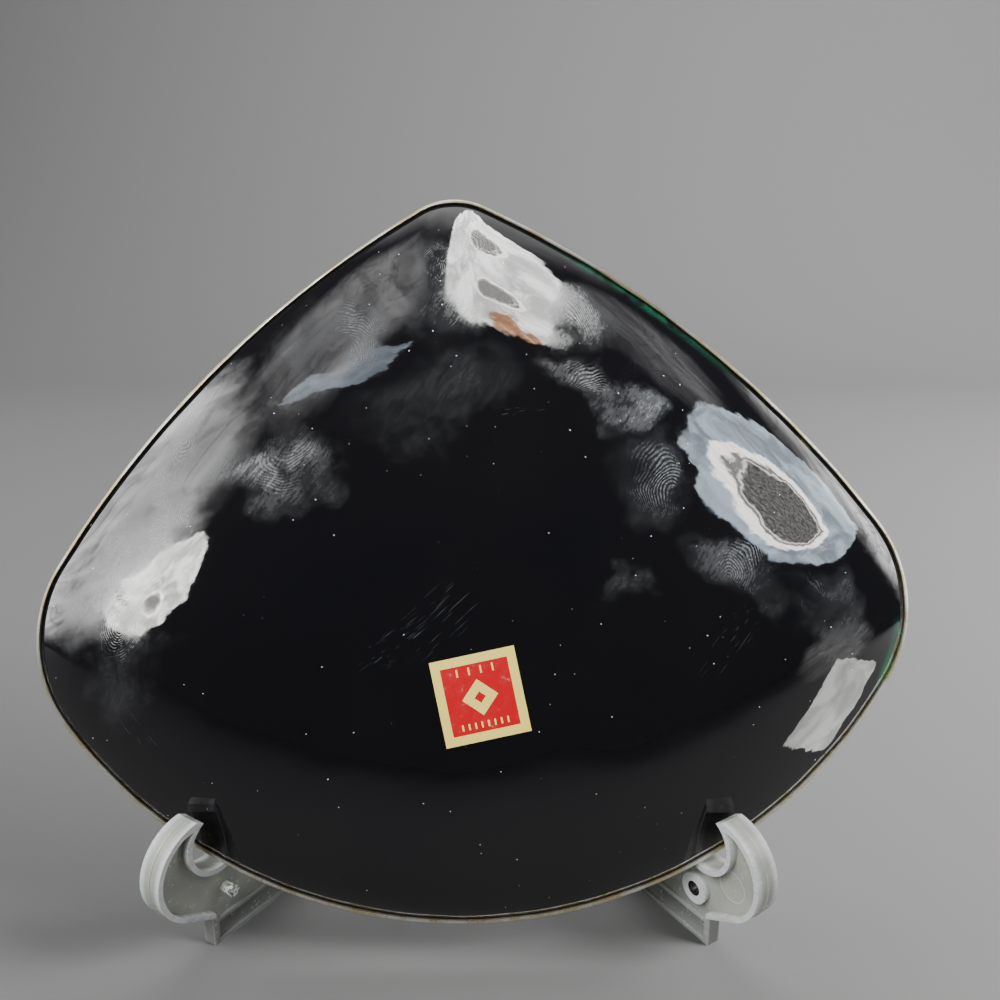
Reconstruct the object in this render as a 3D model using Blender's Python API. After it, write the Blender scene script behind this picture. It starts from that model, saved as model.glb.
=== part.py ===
"""Cloisonne dish shown from its black back, standing in a two-arm plastic plate stand.

Metres, +Z up. The view of interest looks along +Y: the dish's convex back and the
stand's hooks face -Y, the decorated hollow and the stand's hinge face +Y. The dish is
placed first, leaning back, and the stand's cups and uprights are worked out from where
its rim and its hollow lie. The finished object is centred on the origin.
"""

import math

import bmesh
import bpy
from mathutils import Matrix, Vector

MM = 0.001
FIT_GAP = 0.3 * MM                 # clearance between pieces that touch in the real object
HALVINGS = 40                      # steps of each search by halving

# Dish outline: apex, two bowed sides, two corners and a broad bottom arc, all tangent
DISH_WIDTH = 178.0 * MM
DISH_HEIGHT = 148.2 * MM
APEX_RADIUS = 14.4 * MM
SIDE_BOW_RADIUS = 212.5 * MM
CORNER_RADIUS = 28.5 * MM
BOTTOM_RADIUS = 102.0 * MM

# Dish profile: the hollow's deepest point lies below the middle of its height
DEEPEST_BELOW_MIDDLE = 8.0 * MM
WALL = 1.6 * MM
EDGE_WALL = 0.9 * MM               # the wall thins towards the edge
EDGE_WALL_POWER = 6.0
EDGE_HEIGHT = 0.8 * MM             # back edge of the wall, above the mouth plane
CROWN_HEIGHT = 4.5 * MM            # gentle crown over the whole back
SHOULDER_HEIGHT = 9.0 * MM         # steep shoulder near the rim
SHOULDER_POWER = 5.2
DISH_COLUMNS = 96
DISH_RINGS = 9
RING_SPREAD = 0.8                  # under 1 sets the rings closer together near the rim

# Metal band round the dish's edge, with a short leg on the black back
BAND_THICKNESS = 0.5 * MM
BAND_GRIP = 0.4 * MM               # how far the leg reaches past the dish's edge

# Foil label on the back, in the dish's own axes from the middle of its height
LABEL_SIDE = 16.5 * MM
LABEL_THICKNESS = 0.3 * MM
LABEL_RIGHT = 1.0 * MM
LABEL_DOWN = 27.8 * MM
LABEL_TURN = math.radians(8.8)
LABEL_CELLS = 6

# How the dish sits in its stand
LEAN = math.radians(22.0)
ROLL = math.radians(3.2)
GROUND_CLEARANCE = 8.1 * MM        # under the lowest point of the rim

# Stand, seen from above as a V that opens towards the hooks
ARM_ANGLE = math.radians(34.0)     # each arm from the +Y axis
FEET_SPAN = 101.0 * MM             # between the inner front corners of the feet
RIM_SETBACK = 3.2 * MM             # seated rim behind the foot's front face
CUP_LEAD = 0.9 * MM                # cup's centre in front of the seated rim
SEAT_GAP = 0.4 * MM                # under the rim, straight above the cup's bottom
REST_GAP = 0.4 * MM                # between the uprights' tops and the hollow
WEB_THICKNESS = 1.6 * MM
FLANGE_WIDTH = 5.5 * MM
FLANGE_THICKNESS = 1.1 * MM
SKIN_STEP = 0.01 * MM              # keeps faces of overlapping solids out of one plane

# Hook: a cup for the rim inside a round outer flange
CUP_RADIUS = 6.3 * MM
CUP_TIP_ANGLE = math.radians(62.0)
CUP_BACK_ANGLE = math.radians(-150.0)
HOOK_RADIUS = 10.7 * MM
HOOK_FORWARD = 4.1 * MM            # hook circle's centre, from the cup's centre
HOOK_BELOW = 4.2 * MM
HOOK_TOP_ANGLE = math.radians(88.0)
HOOK_BOTTOM_ANGLE = math.radians(-60.0)
TIP_ANGLE = math.radians(20.0)     # solid tip where the two flanges meet
ARC_STEPS = 20

# Foot and base rail
FOOT_WIDTH = 3.0 * MM
FOOT_WALL = 1.4 * MM               # thickness of the foot's front wall
RAIL_LIP = 1.0 * MM
RAIL_HEIGHT = 5.0 * MM
RAIL_RIB_HEIGHT = 0.9 * MM
TAIL_HEIGHT = 12.0 * MM            # web height at the hinge end
TAIL_RISE = 2.0 * MM               # more of it where the tail meets the upright's root
TAIL_BITE = 0.8 * MM               # how far the tail runs into the hinge's sleeve

# Upright that leans into the dish's hollow
UPRIGHT_HEIGHT = 88.0 * MM
UPRIGHT_SETBACK = 9.4 * MM         # foot of the upright behind the cup's centre
UPRIGHT_DEPTH = 7.0 * MM
UPRIGHT_TOP_DEPTH = 4.5 * MM
UPRIGHT_TOP_SLOPE = 3.0 * MM       # fall of the web's top edge, away from the dish
UPRIGHT_SHOULDER = 4.0 * MM        # web above the cup's bottom, behind the upright's foot

# Snap hinge where the rails meet: an upright pin in an open-ended barrel
HINGE_PIN_RADIUS = 1.6 * MM
HINGE_BARREL_RADIUS = 3.6 * MM
HINGE_LUG_HEIGHT = 3.2 * MM
HINGE_HEIGHT = 16.0 * MM
HINGE_SEGMENTS = 24

# Snap pin on one arm, ring boss on the other, on the faces that look at each other
SNAP_SETBACK = 4.2 * MM            # behind the foot's front face
SNAP_HEIGHT = 11.8 * MM
SNAP_PIN_RADIUS = 1.25 * MM
SNAP_HOLE_RADIUS = 1.5 * MM
SNAP_RING_RADIUS = 3.3 * MM
SNAP_PIN_LENGTH = 3.8 * MM
SNAP_RING_LENGTH = 2.3 * MM
SNAP_SEGMENTS = 20


# Small helpers

def polar(centre, radius, angle):
    return (centre[0] + radius * math.cos(angle), centre[1] + radius * math.sin(angle))


def arc(centre, radius, start, end, steps=ARC_STEPS):
    """Points along an arc, from the start angle to the end angle."""
    return [polar(centre, radius, start + (end - start) * i / steps) for i in range(steps + 1)]


def material(name, colour, roughness, metallic=0.0, alpha=1.0):
    mat = bpy.data.materials.new(name)
    mat.use_nodes = True
    shader = mat.node_tree.nodes["Principled BSDF"]
    shader.inputs["Base Color"].default_value = (*colour, 1.0)
    shader.inputs["Roughness"].default_value = roughness
    shader.inputs["Metallic"].default_value = metallic
    shader.inputs["Alpha"].default_value = alpha
    return mat


def new_object(name, bm, mat=None, smooth_angle=35.0):
    """A scene object from a bmesh, shaded smooth across its gentle edges."""
    mesh = bpy.data.meshes.new(name)
    bmesh.ops.recalc_face_normals(bm, faces=bm.faces)
    bm.to_mesh(mesh)
    bm.free()
    mesh.shade_smooth()
    mesh.set_sharp_from_angle(angle=math.radians(smooth_angle))
    obj = bpy.data.objects.new(name, mesh)
    bpy.context.scene.collection.objects.link(obj)
    if mat:
        mesh.materials.append(mat)
    return obj


def prism(outline, low, high):
    """A solid with an outline of (u, z) points, from w = low to w = high."""
    bm = bmesh.new()
    near = [bm.verts.new((u, low, z)) for u, z in outline]
    far = [bm.verts.new((u, high, z)) for u, z in outline]
    count = len(outline)
    bm.faces.new(near)
    bm.faces.new(far[::-1])
    for i in range(count):
        j = (i + 1) % count
        bm.faces.new((near[j], near[i], far[i], far[j]))
    return bm


def cylinder(centre, radius, low, high, segments, axis):
    """A round bar along w or z, through the point centre, from low to high on its axis."""
    bm = bmesh.new()
    bmesh.ops.create_cone(bm, cap_ends=True, segments=segments, radius1=radius, radius2=radius,
                          depth=high - low)
    turn = Matrix.Rotation(math.radians(-90.0), 4, "X") if axis == "w" else Matrix.Identity(4)
    middle = 0.5 * (low + high)
    place = (centre[0], middle, centre[1]) if axis == "w" else (centre[0], centre[1], middle)
    bmesh.ops.transform(bm, matrix=Matrix.Translation(place) @ turn, verts=bm.verts)
    return bm


def combine(base, parts, operation):
    """The Boolean result of a base bmesh with each other bmesh in turn, as a new bmesh."""
    body = new_object("working_body", base)
    helpers = []
    for part in parts:
        helper = new_object("working_part", part)
        modifier = body.modifiers.new("combine", "BOOLEAN")
        modifier.operation = operation
        modifier.solver = "EXACT"
        modifier.object = helper
        helpers.append(helper)
    bpy.context.view_layer.update()
    evaluated = body.evaluated_get(bpy.context.evaluated_depsgraph_get())
    result = bmesh.new()
    result.from_mesh(evaluated.to_mesh())
    evaluated.to_mesh_clear()
    for obj in [body, *helpers]:
        bpy.data.objects.remove(obj)
    return result


# The dish's outline as arcs, and its surfaces

def tangent_centre(first, first_distance, second, second_distance):
    """The point at the given distances from two centres, on the left of the way between them."""
    across = Vector(second) - Vector(first)
    length = across.length
    along = (first_distance ** 2 - second_distance ** 2 + length ** 2) / (2.0 * length)
    side = math.sqrt(first_distance ** 2 - along ** 2)
    unit = across / length
    point = Vector(first) + unit * along + Vector((-unit.y, unit.x)) * side
    return (point.x, point.y)


def outline_arcs():
    """The right half as (centre, radius, clock angle where it ends), from the top down.

    Clock angles are measured from the deepest point, clockwise from straight up.
    """
    middle = DEEPEST_BELOW_MIDDLE
    bottom = (0.0, middle - DISH_HEIGHT / 2 + BOTTOM_RADIUS)
    apex = (0.0, middle + DISH_HEIGHT / 2 - APEX_RADIUS)
    corner_x = DISH_WIDTH / 2 - CORNER_RADIUS
    reach = BOTTOM_RADIUS - CORNER_RADIUS
    corner = (corner_x, bottom[1] - math.sqrt(reach ** 2 - corner_x ** 2))
    side = tangent_centre(corner, SIDE_BOW_RADIUS - CORNER_RADIUS,
                          apex, SIDE_BOW_RADIUS - APEX_RADIUS)

    def meeting(centre, radius, outer_centre):
        """Clock angle of the tangent point of an arc with the larger arc round it."""
        away = (Vector(centre) - Vector(outer_centre)).normalized() * radius
        point = Vector(centre) + away
        return math.atan2(point.x, point.y)

    return [
        (apex, APEX_RADIUS, meeting(apex, APEX_RADIUS, side)),
        (side, SIDE_BOW_RADIUS, meeting(corner, CORNER_RADIUS, side)),
        (corner, CORNER_RADIUS, meeting(corner, CORNER_RADIUS, bottom)),
        (bottom, BOTTOM_RADIUS, math.pi),
    ]


OUTLINE = outline_arcs()


def rim_distance(clock):
    """Distance from the deepest point to the outline, in the direction of a clock angle."""
    clock = abs(math.remainder(clock, 2.0 * math.pi))
    centre, radius = next((c, r) for c, r, end in OUTLINE if clock <= end + 1e-9)
    along = centre[0] * math.sin(clock) + centre[1] * math.cos(clock)
    return along + math.sqrt(along ** 2 - centre[0] ** 2 - centre[1] ** 2 + radius ** 2)


EDGE_INSET = BAND_THICKNESS + FIT_GAP      # from the outline to the dish's own edge


def back_height(share):
    """Height of the black back over the mouth plane, at a share of the way to its edge."""
    crown = CROWN_HEIGHT * (1.0 - share ** 2)
    return EDGE_HEIGHT + crown + SHOULDER_HEIGHT * (1.0 - share ** SHOULDER_POWER)


def back_slope(share, reach):
    """Fall of the back per metre outwards, where the edge is at the distance reach."""
    shoulder = SHOULDER_POWER * SHOULDER_HEIGHT * share ** (SHOULDER_POWER - 1.0)
    return (2.0 * CROWN_HEIGHT * share + shoulder) / reach


def hollow_point(share, reach):
    """(distance, height) of the hollow's surface, one wall inside the back."""
    slope = back_slope(share, reach)
    depth = (WALL - (WALL - EDGE_WALL) * share ** EDGE_WALL_POWER) / math.hypot(1.0, slope)
    return (share * reach - depth * slope, back_height(share) - depth)


def dish_frame():
    """Matrix from the dish's axes (right, up, out of the back) to the world.

    Its origin is the deepest point's place in the mouth plane. The dish is rolled about
    the centre of its bottom arc, so the rim stays in the cups.
    """
    up = Vector((0.0, math.sin(LEAN), math.cos(LEAN)))
    out = Vector((0.0, -math.cos(LEAN), math.sin(LEAN)))
    lean = Matrix((Vector((1.0, 0.0, 0.0)), up, out)).transposed().to_4x4()
    bottom_centre = OUTLINE[-1][0][1]
    roll = (Matrix.Translation((0.0, bottom_centre, 0.0)) @ Matrix.Rotation(ROLL, 4, "Z")
            @ Matrix.Translation((0.0, -bottom_centre, 0.0)))
    raise_by = GROUND_CLEARANCE - (bottom_centre - BOTTOM_RADIUS) * up.z
    return Matrix.Translation((0.0, 0.0, raise_by)) @ lean @ roll


DISH_FRAME = dish_frame()


def ring(bm, points):
    """A closed ring of vertices, one at each column, from a function of the clock angle."""
    verts = []
    for i in range(DISH_COLUMNS):
        clock = 2.0 * math.pi * i / DISH_COLUMNS
        distance, height = points(clock)
        place = Vector((distance * math.sin(clock), distance * math.cos(clock), height))
        verts.append(bm.verts.new(DISH_FRAME @ place))
    return verts


def bridge(bm, rings, closed=False):
    """Faces between each ring and the next, and from the last to the first if closed."""
    pairs = list(zip(rings, rings[1:]))
    if closed:
        pairs.append((rings[-1], rings[0]))
    for first, second in pairs:
        for i in range(DISH_COLUMNS):
            j = (i + 1) % DISH_COLUMNS
            bm.faces.new((first[i], first[j], second[j], second[i]))


def cap(bm, verts, height):
    """A fan of faces from a ring to one vertex over the deepest point."""
    middle = bm.verts.new(DISH_FRAME @ Vector((0.0, 0.0, height)))
    for i in range(DISH_COLUMNS):
        bm.faces.new((verts[i], verts[(i + 1) % DISH_COLUMNS], middle))


def build_dish():
    """The enamelled wall, from the middle of the back over the edge to the hollow."""
    shares = [((i + 1) / DISH_RINGS) ** RING_SPREAD for i in range(DISH_RINGS)]

    def reach(clock):
        return rim_distance(clock) - EDGE_INSET

    bm = bmesh.new()
    rings = [ring(bm, lambda c, s=s: (s * reach(c), back_height(s))) for s in shares]
    cap(bm, rings[0], back_height(0.0))
    rings.append(ring(bm, lambda c: (reach(c), 0.0)))
    rings += [ring(bm, lambda c, s=s: hollow_point(s, reach(c))) for s in reversed(shares)]
    cap(bm, rings[-1], back_height(0.0) - WALL)
    bridge(bm, rings)
    return new_object("dish", bm, material("black_enamel", (0.006, 0.006, 0.008), 0.05))


def build_rim_band():
    """A thin metal angle that covers the dish's edge and the margin of its back."""
    leg = EDGE_INSET + BAND_GRIP

    def outer_back(clock, inset):
        """Height over the back at an inset, measured to the band's inner side."""
        reach = rim_distance(clock) - EDGE_INSET
        slope = back_slope(1.0, reach)
        return EDGE_HEIGHT + slope * max(inset - EDGE_INSET, 0.0) + FIT_GAP * math.hypot(1.0, slope)

    section = [
        lambda c: (rim_distance(c), 0.0),
        lambda c: (rim_distance(c), EDGE_HEIGHT + FIT_GAP),
        lambda c: (rim_distance(c) - BAND_THICKNESS, outer_back(c, EDGE_INSET) + BAND_THICKNESS),
        lambda c: (rim_distance(c) - leg, outer_back(c, leg) + BAND_THICKNESS),
        lambda c: (rim_distance(c) - leg, outer_back(c, leg)),
        lambda c: (rim_distance(c) - BAND_THICKNESS, outer_back(c, EDGE_INSET)),
        lambda c: (rim_distance(c) - BAND_THICKNESS, 0.0),
    ]
    bm = bmesh.new()
    bridge(bm, [ring(bm, points) for points in section], closed=True)
    return new_object("rim_band", bm, material("silver", (0.78, 0.75, 0.68), 0.25, metallic=1.0))


def build_label():
    """A thin square skin that follows the black back."""
    turn = Matrix.Rotation(LABEL_TURN, 2)
    middle = Vector((LABEL_RIGHT, DEEPEST_BELOW_MIDDLE - LABEL_DOWN))

    def place(column, row, lift):
        step = LABEL_SIDE / LABEL_CELLS
        local = Vector((column * step - LABEL_SIDE / 2, row * step - LABEL_SIDE / 2))
        spot = turn @ local + middle
        share = spot.length / (rim_distance(math.atan2(spot.x, spot.y)) - EDGE_INSET)
        return DISH_FRAME @ Vector((spot.x, spot.y, back_height(share) + lift))

    bm = bmesh.new()
    counts = range(LABEL_CELLS + 1)
    layers = [[[bm.verts.new(place(c, r, lift)) for r in counts] for c in counts]
              for lift in (FIT_GAP, FIT_GAP + LABEL_THICKNESS)]
    for grid in layers:
        for c in range(LABEL_CELLS):
            for r in range(LABEL_CELLS):
                bm.faces.new((grid[c][r], grid[c + 1][r], grid[c + 1][r + 1], grid[c][r + 1]))
    border = ([(c, 0) for c in range(LABEL_CELLS)] + [(LABEL_CELLS, r) for r in range(LABEL_CELLS)]
              + [(c, LABEL_CELLS) for c in range(LABEL_CELLS, 0, -1)]
              + [(0, r) for r in range(LABEL_CELLS, 0, -1)])
    for (c, r), (d, s) in zip(border, border[1:] + border[:1]):
        bm.faces.new((layers[0][c][r], layers[0][d][s], layers[1][d][s], layers[1][c][r]))
    return new_object("back_label", bm, material("red_foil", (0.75, 0.05, 0.06), 0.4))


# The stand's right arm, in its own axes: u forwards along the arm, w away from the other
# arm, z up. The origin is on the ground, under the web, at the foot's front face.

ARM_FORWARD = Vector((math.sin(ARM_ANGLE), -math.cos(ARM_ANGLE), 0.0))
ARM_OUTWARD = Vector((math.cos(ARM_ANGLE), math.sin(ARM_ANGLE), 0.0))


def arm_frame():
    """Matrix from the arm's axes to the world.

    The foot's inner front corner is at half the span, and the arm is slid along Y until
    the rim passes over the cup at its inner edge, where it is lowest.
    """
    axes = Matrix((ARM_FORWARD, ARM_OUTWARD, Vector((0.0, 0.0, 1.0)))).transposed().to_4x4()
    corner = Vector((FEET_SPAN / 2, 0.0, 0.0)) + ARM_OUTWARD * (FOOT_WIDTH / 2)
    cup = corner - ARM_FORWARD * RIM_SETBACK - ARM_OUTWARD * (FLANGE_WIDTH / 2)
    slide = rim_point(cup.x).y - cup.y
    return Matrix.Translation(corner + Vector((0.0, slide, 0.0))) @ axes


def rim_point(x):
    """World place of the rim's bottom arc, in the mouth plane, at a distance x to the side."""
    centre = DISH_FRAME @ Vector((0.0, OUTLINE[-1][0][1], 0.0))
    drop = math.sqrt(BOTTOM_RADIUS ** 2 - x ** 2)
    return centre - Vector((0.0, math.sin(LEAN), math.cos(LEAN))) * drop


ARM_FRAME = arm_frame()
CUP_INNER_X = (ARM_FRAME @ Vector((-RIM_SETBACK, -FLANGE_WIDTH / 2, 0.0))).x
CUP_BOTTOM = rim_point(CUP_INNER_X).z - SEAT_GAP
CUP_CENTRE = (CUP_LEAD - RIM_SETBACK, CUP_BOTTOM + CUP_RADIUS)
HOOK_CENTRE = (CUP_CENTRE[0] + HOOK_FORWARD, CUP_CENTRE[1] - HOOK_BELOW)


def hollow_clearance(u, z):
    """Free depth between an upright's inner flange edge and the hollow's surface.

    The lesser of the two arms, because the rolled dish isn't the same over both. It is
    measured along the dish's axis, and positive in the free space.
    """
    edge = ARM_FRAME @ Vector((u, -FLANGE_WIDTH / 2, z))
    depths = []
    for side in (1.0, -1.0):
        spot = DISH_FRAME.inverted() @ Vector((side * edge.x, edge.y, edge.z))
        reach = rim_distance(math.atan2(spot.x, spot.y)) - EDGE_INSET
        low, high = 0.0, 1.0
        for _ in range(HALVINGS):
            share = 0.5 * (low + high)
            if hollow_point(share, reach)[0] < math.hypot(spot.x, spot.y):
                low = share
            else:
                high = share
        depths.append(hollow_point(low, reach)[1] - spot.z)
    return min(depths)


def upright_top():
    """Forward place of the upright's top, where it rests in the hollow with a clearance."""
    low, high = -2.0 * UPRIGHT_HEIGHT, 0.0
    for _ in range(HALVINGS):
        middle = 0.5 * (low + high)
        if hollow_clearance(middle, UPRIGHT_HEIGHT) > REST_GAP:
            low = middle
        else:
            high = middle
    return low


def arm_solids(hinge_distance):
    """The prisms that make up an arm's web, flanges, foot, rail and upright."""
    half_web = WEB_THICKNESS / 2
    half_flange = FLANGE_WIDTH / 2
    half_foot = FOOT_WIDTH / 2
    half_sheet = FLANGE_THICKNESS / 2
    inner_hook = HOOK_RADIUS - FLANGE_THICKNESS
    outer_cup = CUP_RADIUS + FLANGE_THICKNESS
    tail = -hinge_distance
    top_u = upright_top()
    foot_u = CUP_CENTRE[0] - UPRIGHT_SETBACK
    foot_z = CUP_CENTRE[1] - CUP_RADIUS
    root_u = foot_u - 2.0 * UPRIGHT_DEPTH
    root_z = TAIL_HEIGHT + TAIL_RISE

    # The hook's flange and the cup's flange fork from one solid tip
    hook_out = arc(HOOK_CENTRE, HOOK_RADIUS, HOOK_TOP_ANGLE, HOOK_BOTTOM_ANGLE)
    hook_in = arc(HOOK_CENTRE, inner_hook, HOOK_TOP_ANGLE - TIP_ANGLE, HOOK_BOTTOM_ANGLE)
    cup_out = arc(CUP_CENTRE, outer_cup, CUP_TIP_ANGLE - TIP_ANGLE, CUP_BACK_ANGLE)
    cup_in = arc(CUP_CENTRE, CUP_RADIUS, CUP_TIP_ANGLE, CUP_BACK_ANGLE)

    # The bottom flange runs on along the hook's tangent down to the foot's front face
    fall = -1.0 / math.tan(HOOK_BOTTOM_ANGLE)
    under_foot = (0.0, hook_out[-1][1] - fall * hook_out[-1][0])
    over_foot = (0.0, hook_in[-1][1] - fall * hook_in[-1][0])
    wall_top = under_foot[1] - fall * FOOT_WALL

    web = (arc(HOOK_CENTRE, HOOK_RADIUS - half_sheet, HOOK_TOP_ANGLE - TIP_ANGLE / 2,
               HOOK_BOTTOM_ANGLE)
           + [(-0.5 * FOOT_WALL, wall_top), (-0.5 * FOOT_WALL, 0.5 * RAIL_LIP),
              (tail, 0.5 * RAIL_LIP), (tail, TAIL_HEIGHT - half_sheet),
              (root_u, root_z - half_sheet),
              (foot_u - UPRIGHT_DEPTH, foot_z + UPRIGHT_SHOULDER),
              (top_u - UPRIGHT_TOP_DEPTH, UPRIGHT_HEIGHT - UPRIGHT_TOP_SLOPE),
              (top_u - half_sheet, UPRIGHT_HEIGHT - half_sheet), (foot_u - half_sheet, foot_z)]
           + arc(CUP_CENTRE, CUP_RADIUS + half_sheet, CUP_BACK_ANGLE,
                 CUP_TIP_ANGLE - TIP_ANGLE / 2))

    def bar(outline, half_width, steps_in=0):
        """A prism centred on the web, a few skin steps narrower than it says."""
        half = half_width - steps_in * SKIN_STEP
        return prism(outline, -half, half)

    return [
        bar(web, half_web),
        bar(hook_out + hook_in[::-1] + cup_out + cup_in[::-1], half_flange),
        # Bottom flange from the hook's circle to the foot
        bar([hook_out[-1], under_foot, over_foot, hook_in[-1]], half_flange, 1),
        # Front wall of the foot, the rail's lip and its rib
        bar([(0.0, 0.0), (0.0, 0.5 * (under_foot[1] + over_foot[1])),
             (-FOOT_WALL, wall_top), (-FOOT_WALL, 0.0)], half_foot),
        bar([(-0.5 * FOOT_WALL, 0.0), (-0.5 * FOOT_WALL, RAIL_LIP), (tail, RAIL_LIP),
             (tail, 0.0)], half_foot, 1),
        bar([(-0.5 * FOOT_WALL, RAIL_HEIGHT), (-0.5 * FOOT_WALL, RAIL_HEIGHT + RAIL_RIB_HEIGHT),
             (tail, RAIL_HEIGHT + RAIL_RIB_HEIGHT), (tail, RAIL_HEIGHT)], half_foot, 2),
        # Flange along the tail's top edge
        bar([(root_u, root_z), (tail, TAIL_HEIGHT), (tail, TAIL_HEIGHT - FLANGE_THICKNESS),
             (root_u, root_z - FLANGE_THICKNESS)], half_foot),
        # Upright's face towards the dish
        bar([(foot_u, foot_z), (top_u, UPRIGHT_HEIGHT), (top_u - FLANGE_THICKNESS, UPRIGHT_HEIGHT),
             (foot_u - FLANGE_THICKNESS, foot_z)], half_flange),
    ]


def snap_pin():
    place = (-SNAP_SETBACK, SNAP_HEIGHT)
    return cylinder(place, SNAP_PIN_RADIUS, -SNAP_PIN_LENGTH, 0.0, SNAP_SEGMENTS, "w")


def snap_ring():
    place = (-SNAP_SETBACK, SNAP_HEIGHT)
    return cylinder(place, SNAP_RING_RADIUS, -SNAP_RING_LENGTH, 0.0, SNAP_SEGMENTS, "w")


def snap_hole():
    place = (-SNAP_SETBACK, SNAP_HEIGHT)
    return cylinder(place, SNAP_HOLE_RADIUS, -2.0 * SNAP_RING_LENGTH, SNAP_RING_LENGTH,
                    SNAP_SEGMENTS, "w")


def to_world(bm, mirrored):
    """Move an arm's bmesh to the world, mirrored across X for the left arm."""
    matrix = ARM_FRAME
    if mirrored:
        matrix = Matrix.Scale(-1.0, 4, Vector((1.0, 0.0, 0.0))) @ matrix
    bmesh.ops.transform(bm, matrix=matrix, verts=bm.verts)
    return bm


def hinge_place():
    """Where the arms' webs meet behind the dish, as (distance along the arm, world Y)."""
    corner = ARM_FRAME.translation
    distance = corner.x / math.sin(ARM_ANGLE)
    return distance, corner.y + distance * math.cos(ARM_ANGLE)


def hinge_bar(radius, low, high):
    _, y = hinge_place()
    return cylinder((0.0, y), radius, low, high, HINGE_SEGMENTS, "z")


def build_arm(name, mirrored, mat):
    """One moulded arm: the left one is mirrored and carries the two pins."""
    distance, _ = hinge_place()
    solids = arm_solids(distance - HINGE_BARREL_RADIUS + TAIL_BITE)
    body = combine(solids[0], solids[1:], "UNION")
    if mirrored:
        body = combine(body, [snap_pin()], "UNION")
    else:
        body = combine(body, [snap_ring()], "UNION")
        body = combine(body, [snap_hole()], "DIFFERENCE")
    to_world(body, mirrored)
    clear = HINGE_BARREL_RADIUS + FIT_GAP
    sleeve_low = HINGE_LUG_HEIGHT + FIT_GAP
    if mirrored:
        # The tail is cut back round the sleeve, and keeps the lug and the pin
        body = combine(body, [hinge_bar(clear, 0.5 * HINGE_LUG_HEIGHT, 2.0 * HINGE_HEIGHT)],
                       "DIFFERENCE")
        body = combine(body, [hinge_bar(HINGE_BARREL_RADIUS, 0.0, HINGE_LUG_HEIGHT),
                              hinge_bar(HINGE_PIN_RADIUS, 0.5 * HINGE_LUG_HEIGHT, HINGE_HEIGHT)],
                       "UNION")
    else:
        body = combine(body, [hinge_bar(clear, -HINGE_HEIGHT, sleeve_low)], "DIFFERENCE")
        body = combine(body, [hinge_bar(HINGE_BARREL_RADIUS, sleeve_low, HINGE_HEIGHT)], "UNION")
        body = combine(body, [hinge_bar(HINGE_PIN_RADIUS + FIT_GAP, -HINGE_HEIGHT,
                                        2.0 * HINGE_HEIGHT)], "DIFFERENCE")
    return new_object(name, body, mat)


def centre_on_origin(objects):
    """Slide everything sideways so that its bounding box is centred on the origin."""
    corners = [obj.matrix_world @ vert.co for obj in objects for vert in obj.data.vertices]
    shift = Vector((0.5 * (min(c.x for c in corners) + max(c.x for c in corners)),
                    0.5 * (min(c.y for c in corners) + max(c.y for c in corners)),
                    min(c.z for c in corners)))
    for obj in objects:
        obj.location = obj.location - shift


def main():
    for obj in list(bpy.data.objects):
        bpy.data.objects.remove(obj)
    plastic = material("smoky_plastic", (0.42, 0.44, 0.45), 0.3, alpha=0.6)
    pieces = [
        build_dish(),
        build_rim_band(),
        build_label(),
        build_arm("stand_arm_left", True, plastic),
        build_arm("stand_arm_right", False, plastic),
    ]
    centre_on_origin(pieces)


main()
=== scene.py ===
"""Looks of the cloisonne dish on its plastic plate stand.

The dish, its metal edge and the foil label are finer versions of the CAD nodes, made
from the same outline and profile. The stand's arms are the CAD shapes with softened
edges, mould seams and the marks of moulding. The camera looks at the black back, and lamps
that only the enamel mirrors stand where the photograph shows its highlights.
"""

import math

import bmesh
import bpy
from mathutils import Matrix, Vector, noise


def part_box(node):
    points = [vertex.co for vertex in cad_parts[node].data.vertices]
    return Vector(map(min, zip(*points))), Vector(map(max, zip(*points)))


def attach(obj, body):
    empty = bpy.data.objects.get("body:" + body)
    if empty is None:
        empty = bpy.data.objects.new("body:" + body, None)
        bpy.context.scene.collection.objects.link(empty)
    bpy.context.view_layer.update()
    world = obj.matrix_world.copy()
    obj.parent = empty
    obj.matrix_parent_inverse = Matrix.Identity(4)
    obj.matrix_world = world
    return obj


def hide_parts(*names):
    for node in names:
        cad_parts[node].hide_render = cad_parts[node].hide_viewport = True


MM = 0.001

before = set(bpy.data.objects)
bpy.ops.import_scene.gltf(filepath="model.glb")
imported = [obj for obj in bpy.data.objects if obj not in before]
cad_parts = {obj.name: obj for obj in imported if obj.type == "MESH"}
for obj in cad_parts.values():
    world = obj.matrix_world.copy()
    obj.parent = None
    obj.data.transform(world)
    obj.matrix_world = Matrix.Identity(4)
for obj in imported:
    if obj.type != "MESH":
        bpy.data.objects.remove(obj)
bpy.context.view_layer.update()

# Dish outline and profile, as in the CAD model
DISH_WIDTH = 178.0 * MM
DISH_HEIGHT = 148.2 * MM
APEX_RADIUS = 14.4 * MM
SIDE_BOW_RADIUS = 212.5 * MM
CORNER_RADIUS = 28.5 * MM
BOTTOM_RADIUS = 102.0 * MM
DEEPEST_BELOW_MIDDLE = 8.0 * MM
WALL = 1.6 * MM
EDGE_WALL = 0.9 * MM
EDGE_WALL_POWER = 6.0
EDGE_HEIGHT = 0.8 * MM
CROWN_HEIGHT = 4.5 * MM
SHOULDER_HEIGHT = 9.0 * MM
SHOULDER_POWER = 5.2
BAND_THICKNESS = 0.5 * MM
BAND_GRIP = 0.15 * MM
BAND_LIFT = 0.15 * MM              # inside of the band, over the enamel
BAND_ROUNDING = 0.55 * MM          # outer corner, from the side inwards
BAND_WANDER = 0.14 * MM            # of its inner line
FIT_GAP = 0.3 * MM
EDGE_INSET = BAND_THICKNESS + FIT_GAP
LEAN = math.radians(22.0)
ROLL = math.radians(3.2)

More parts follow.
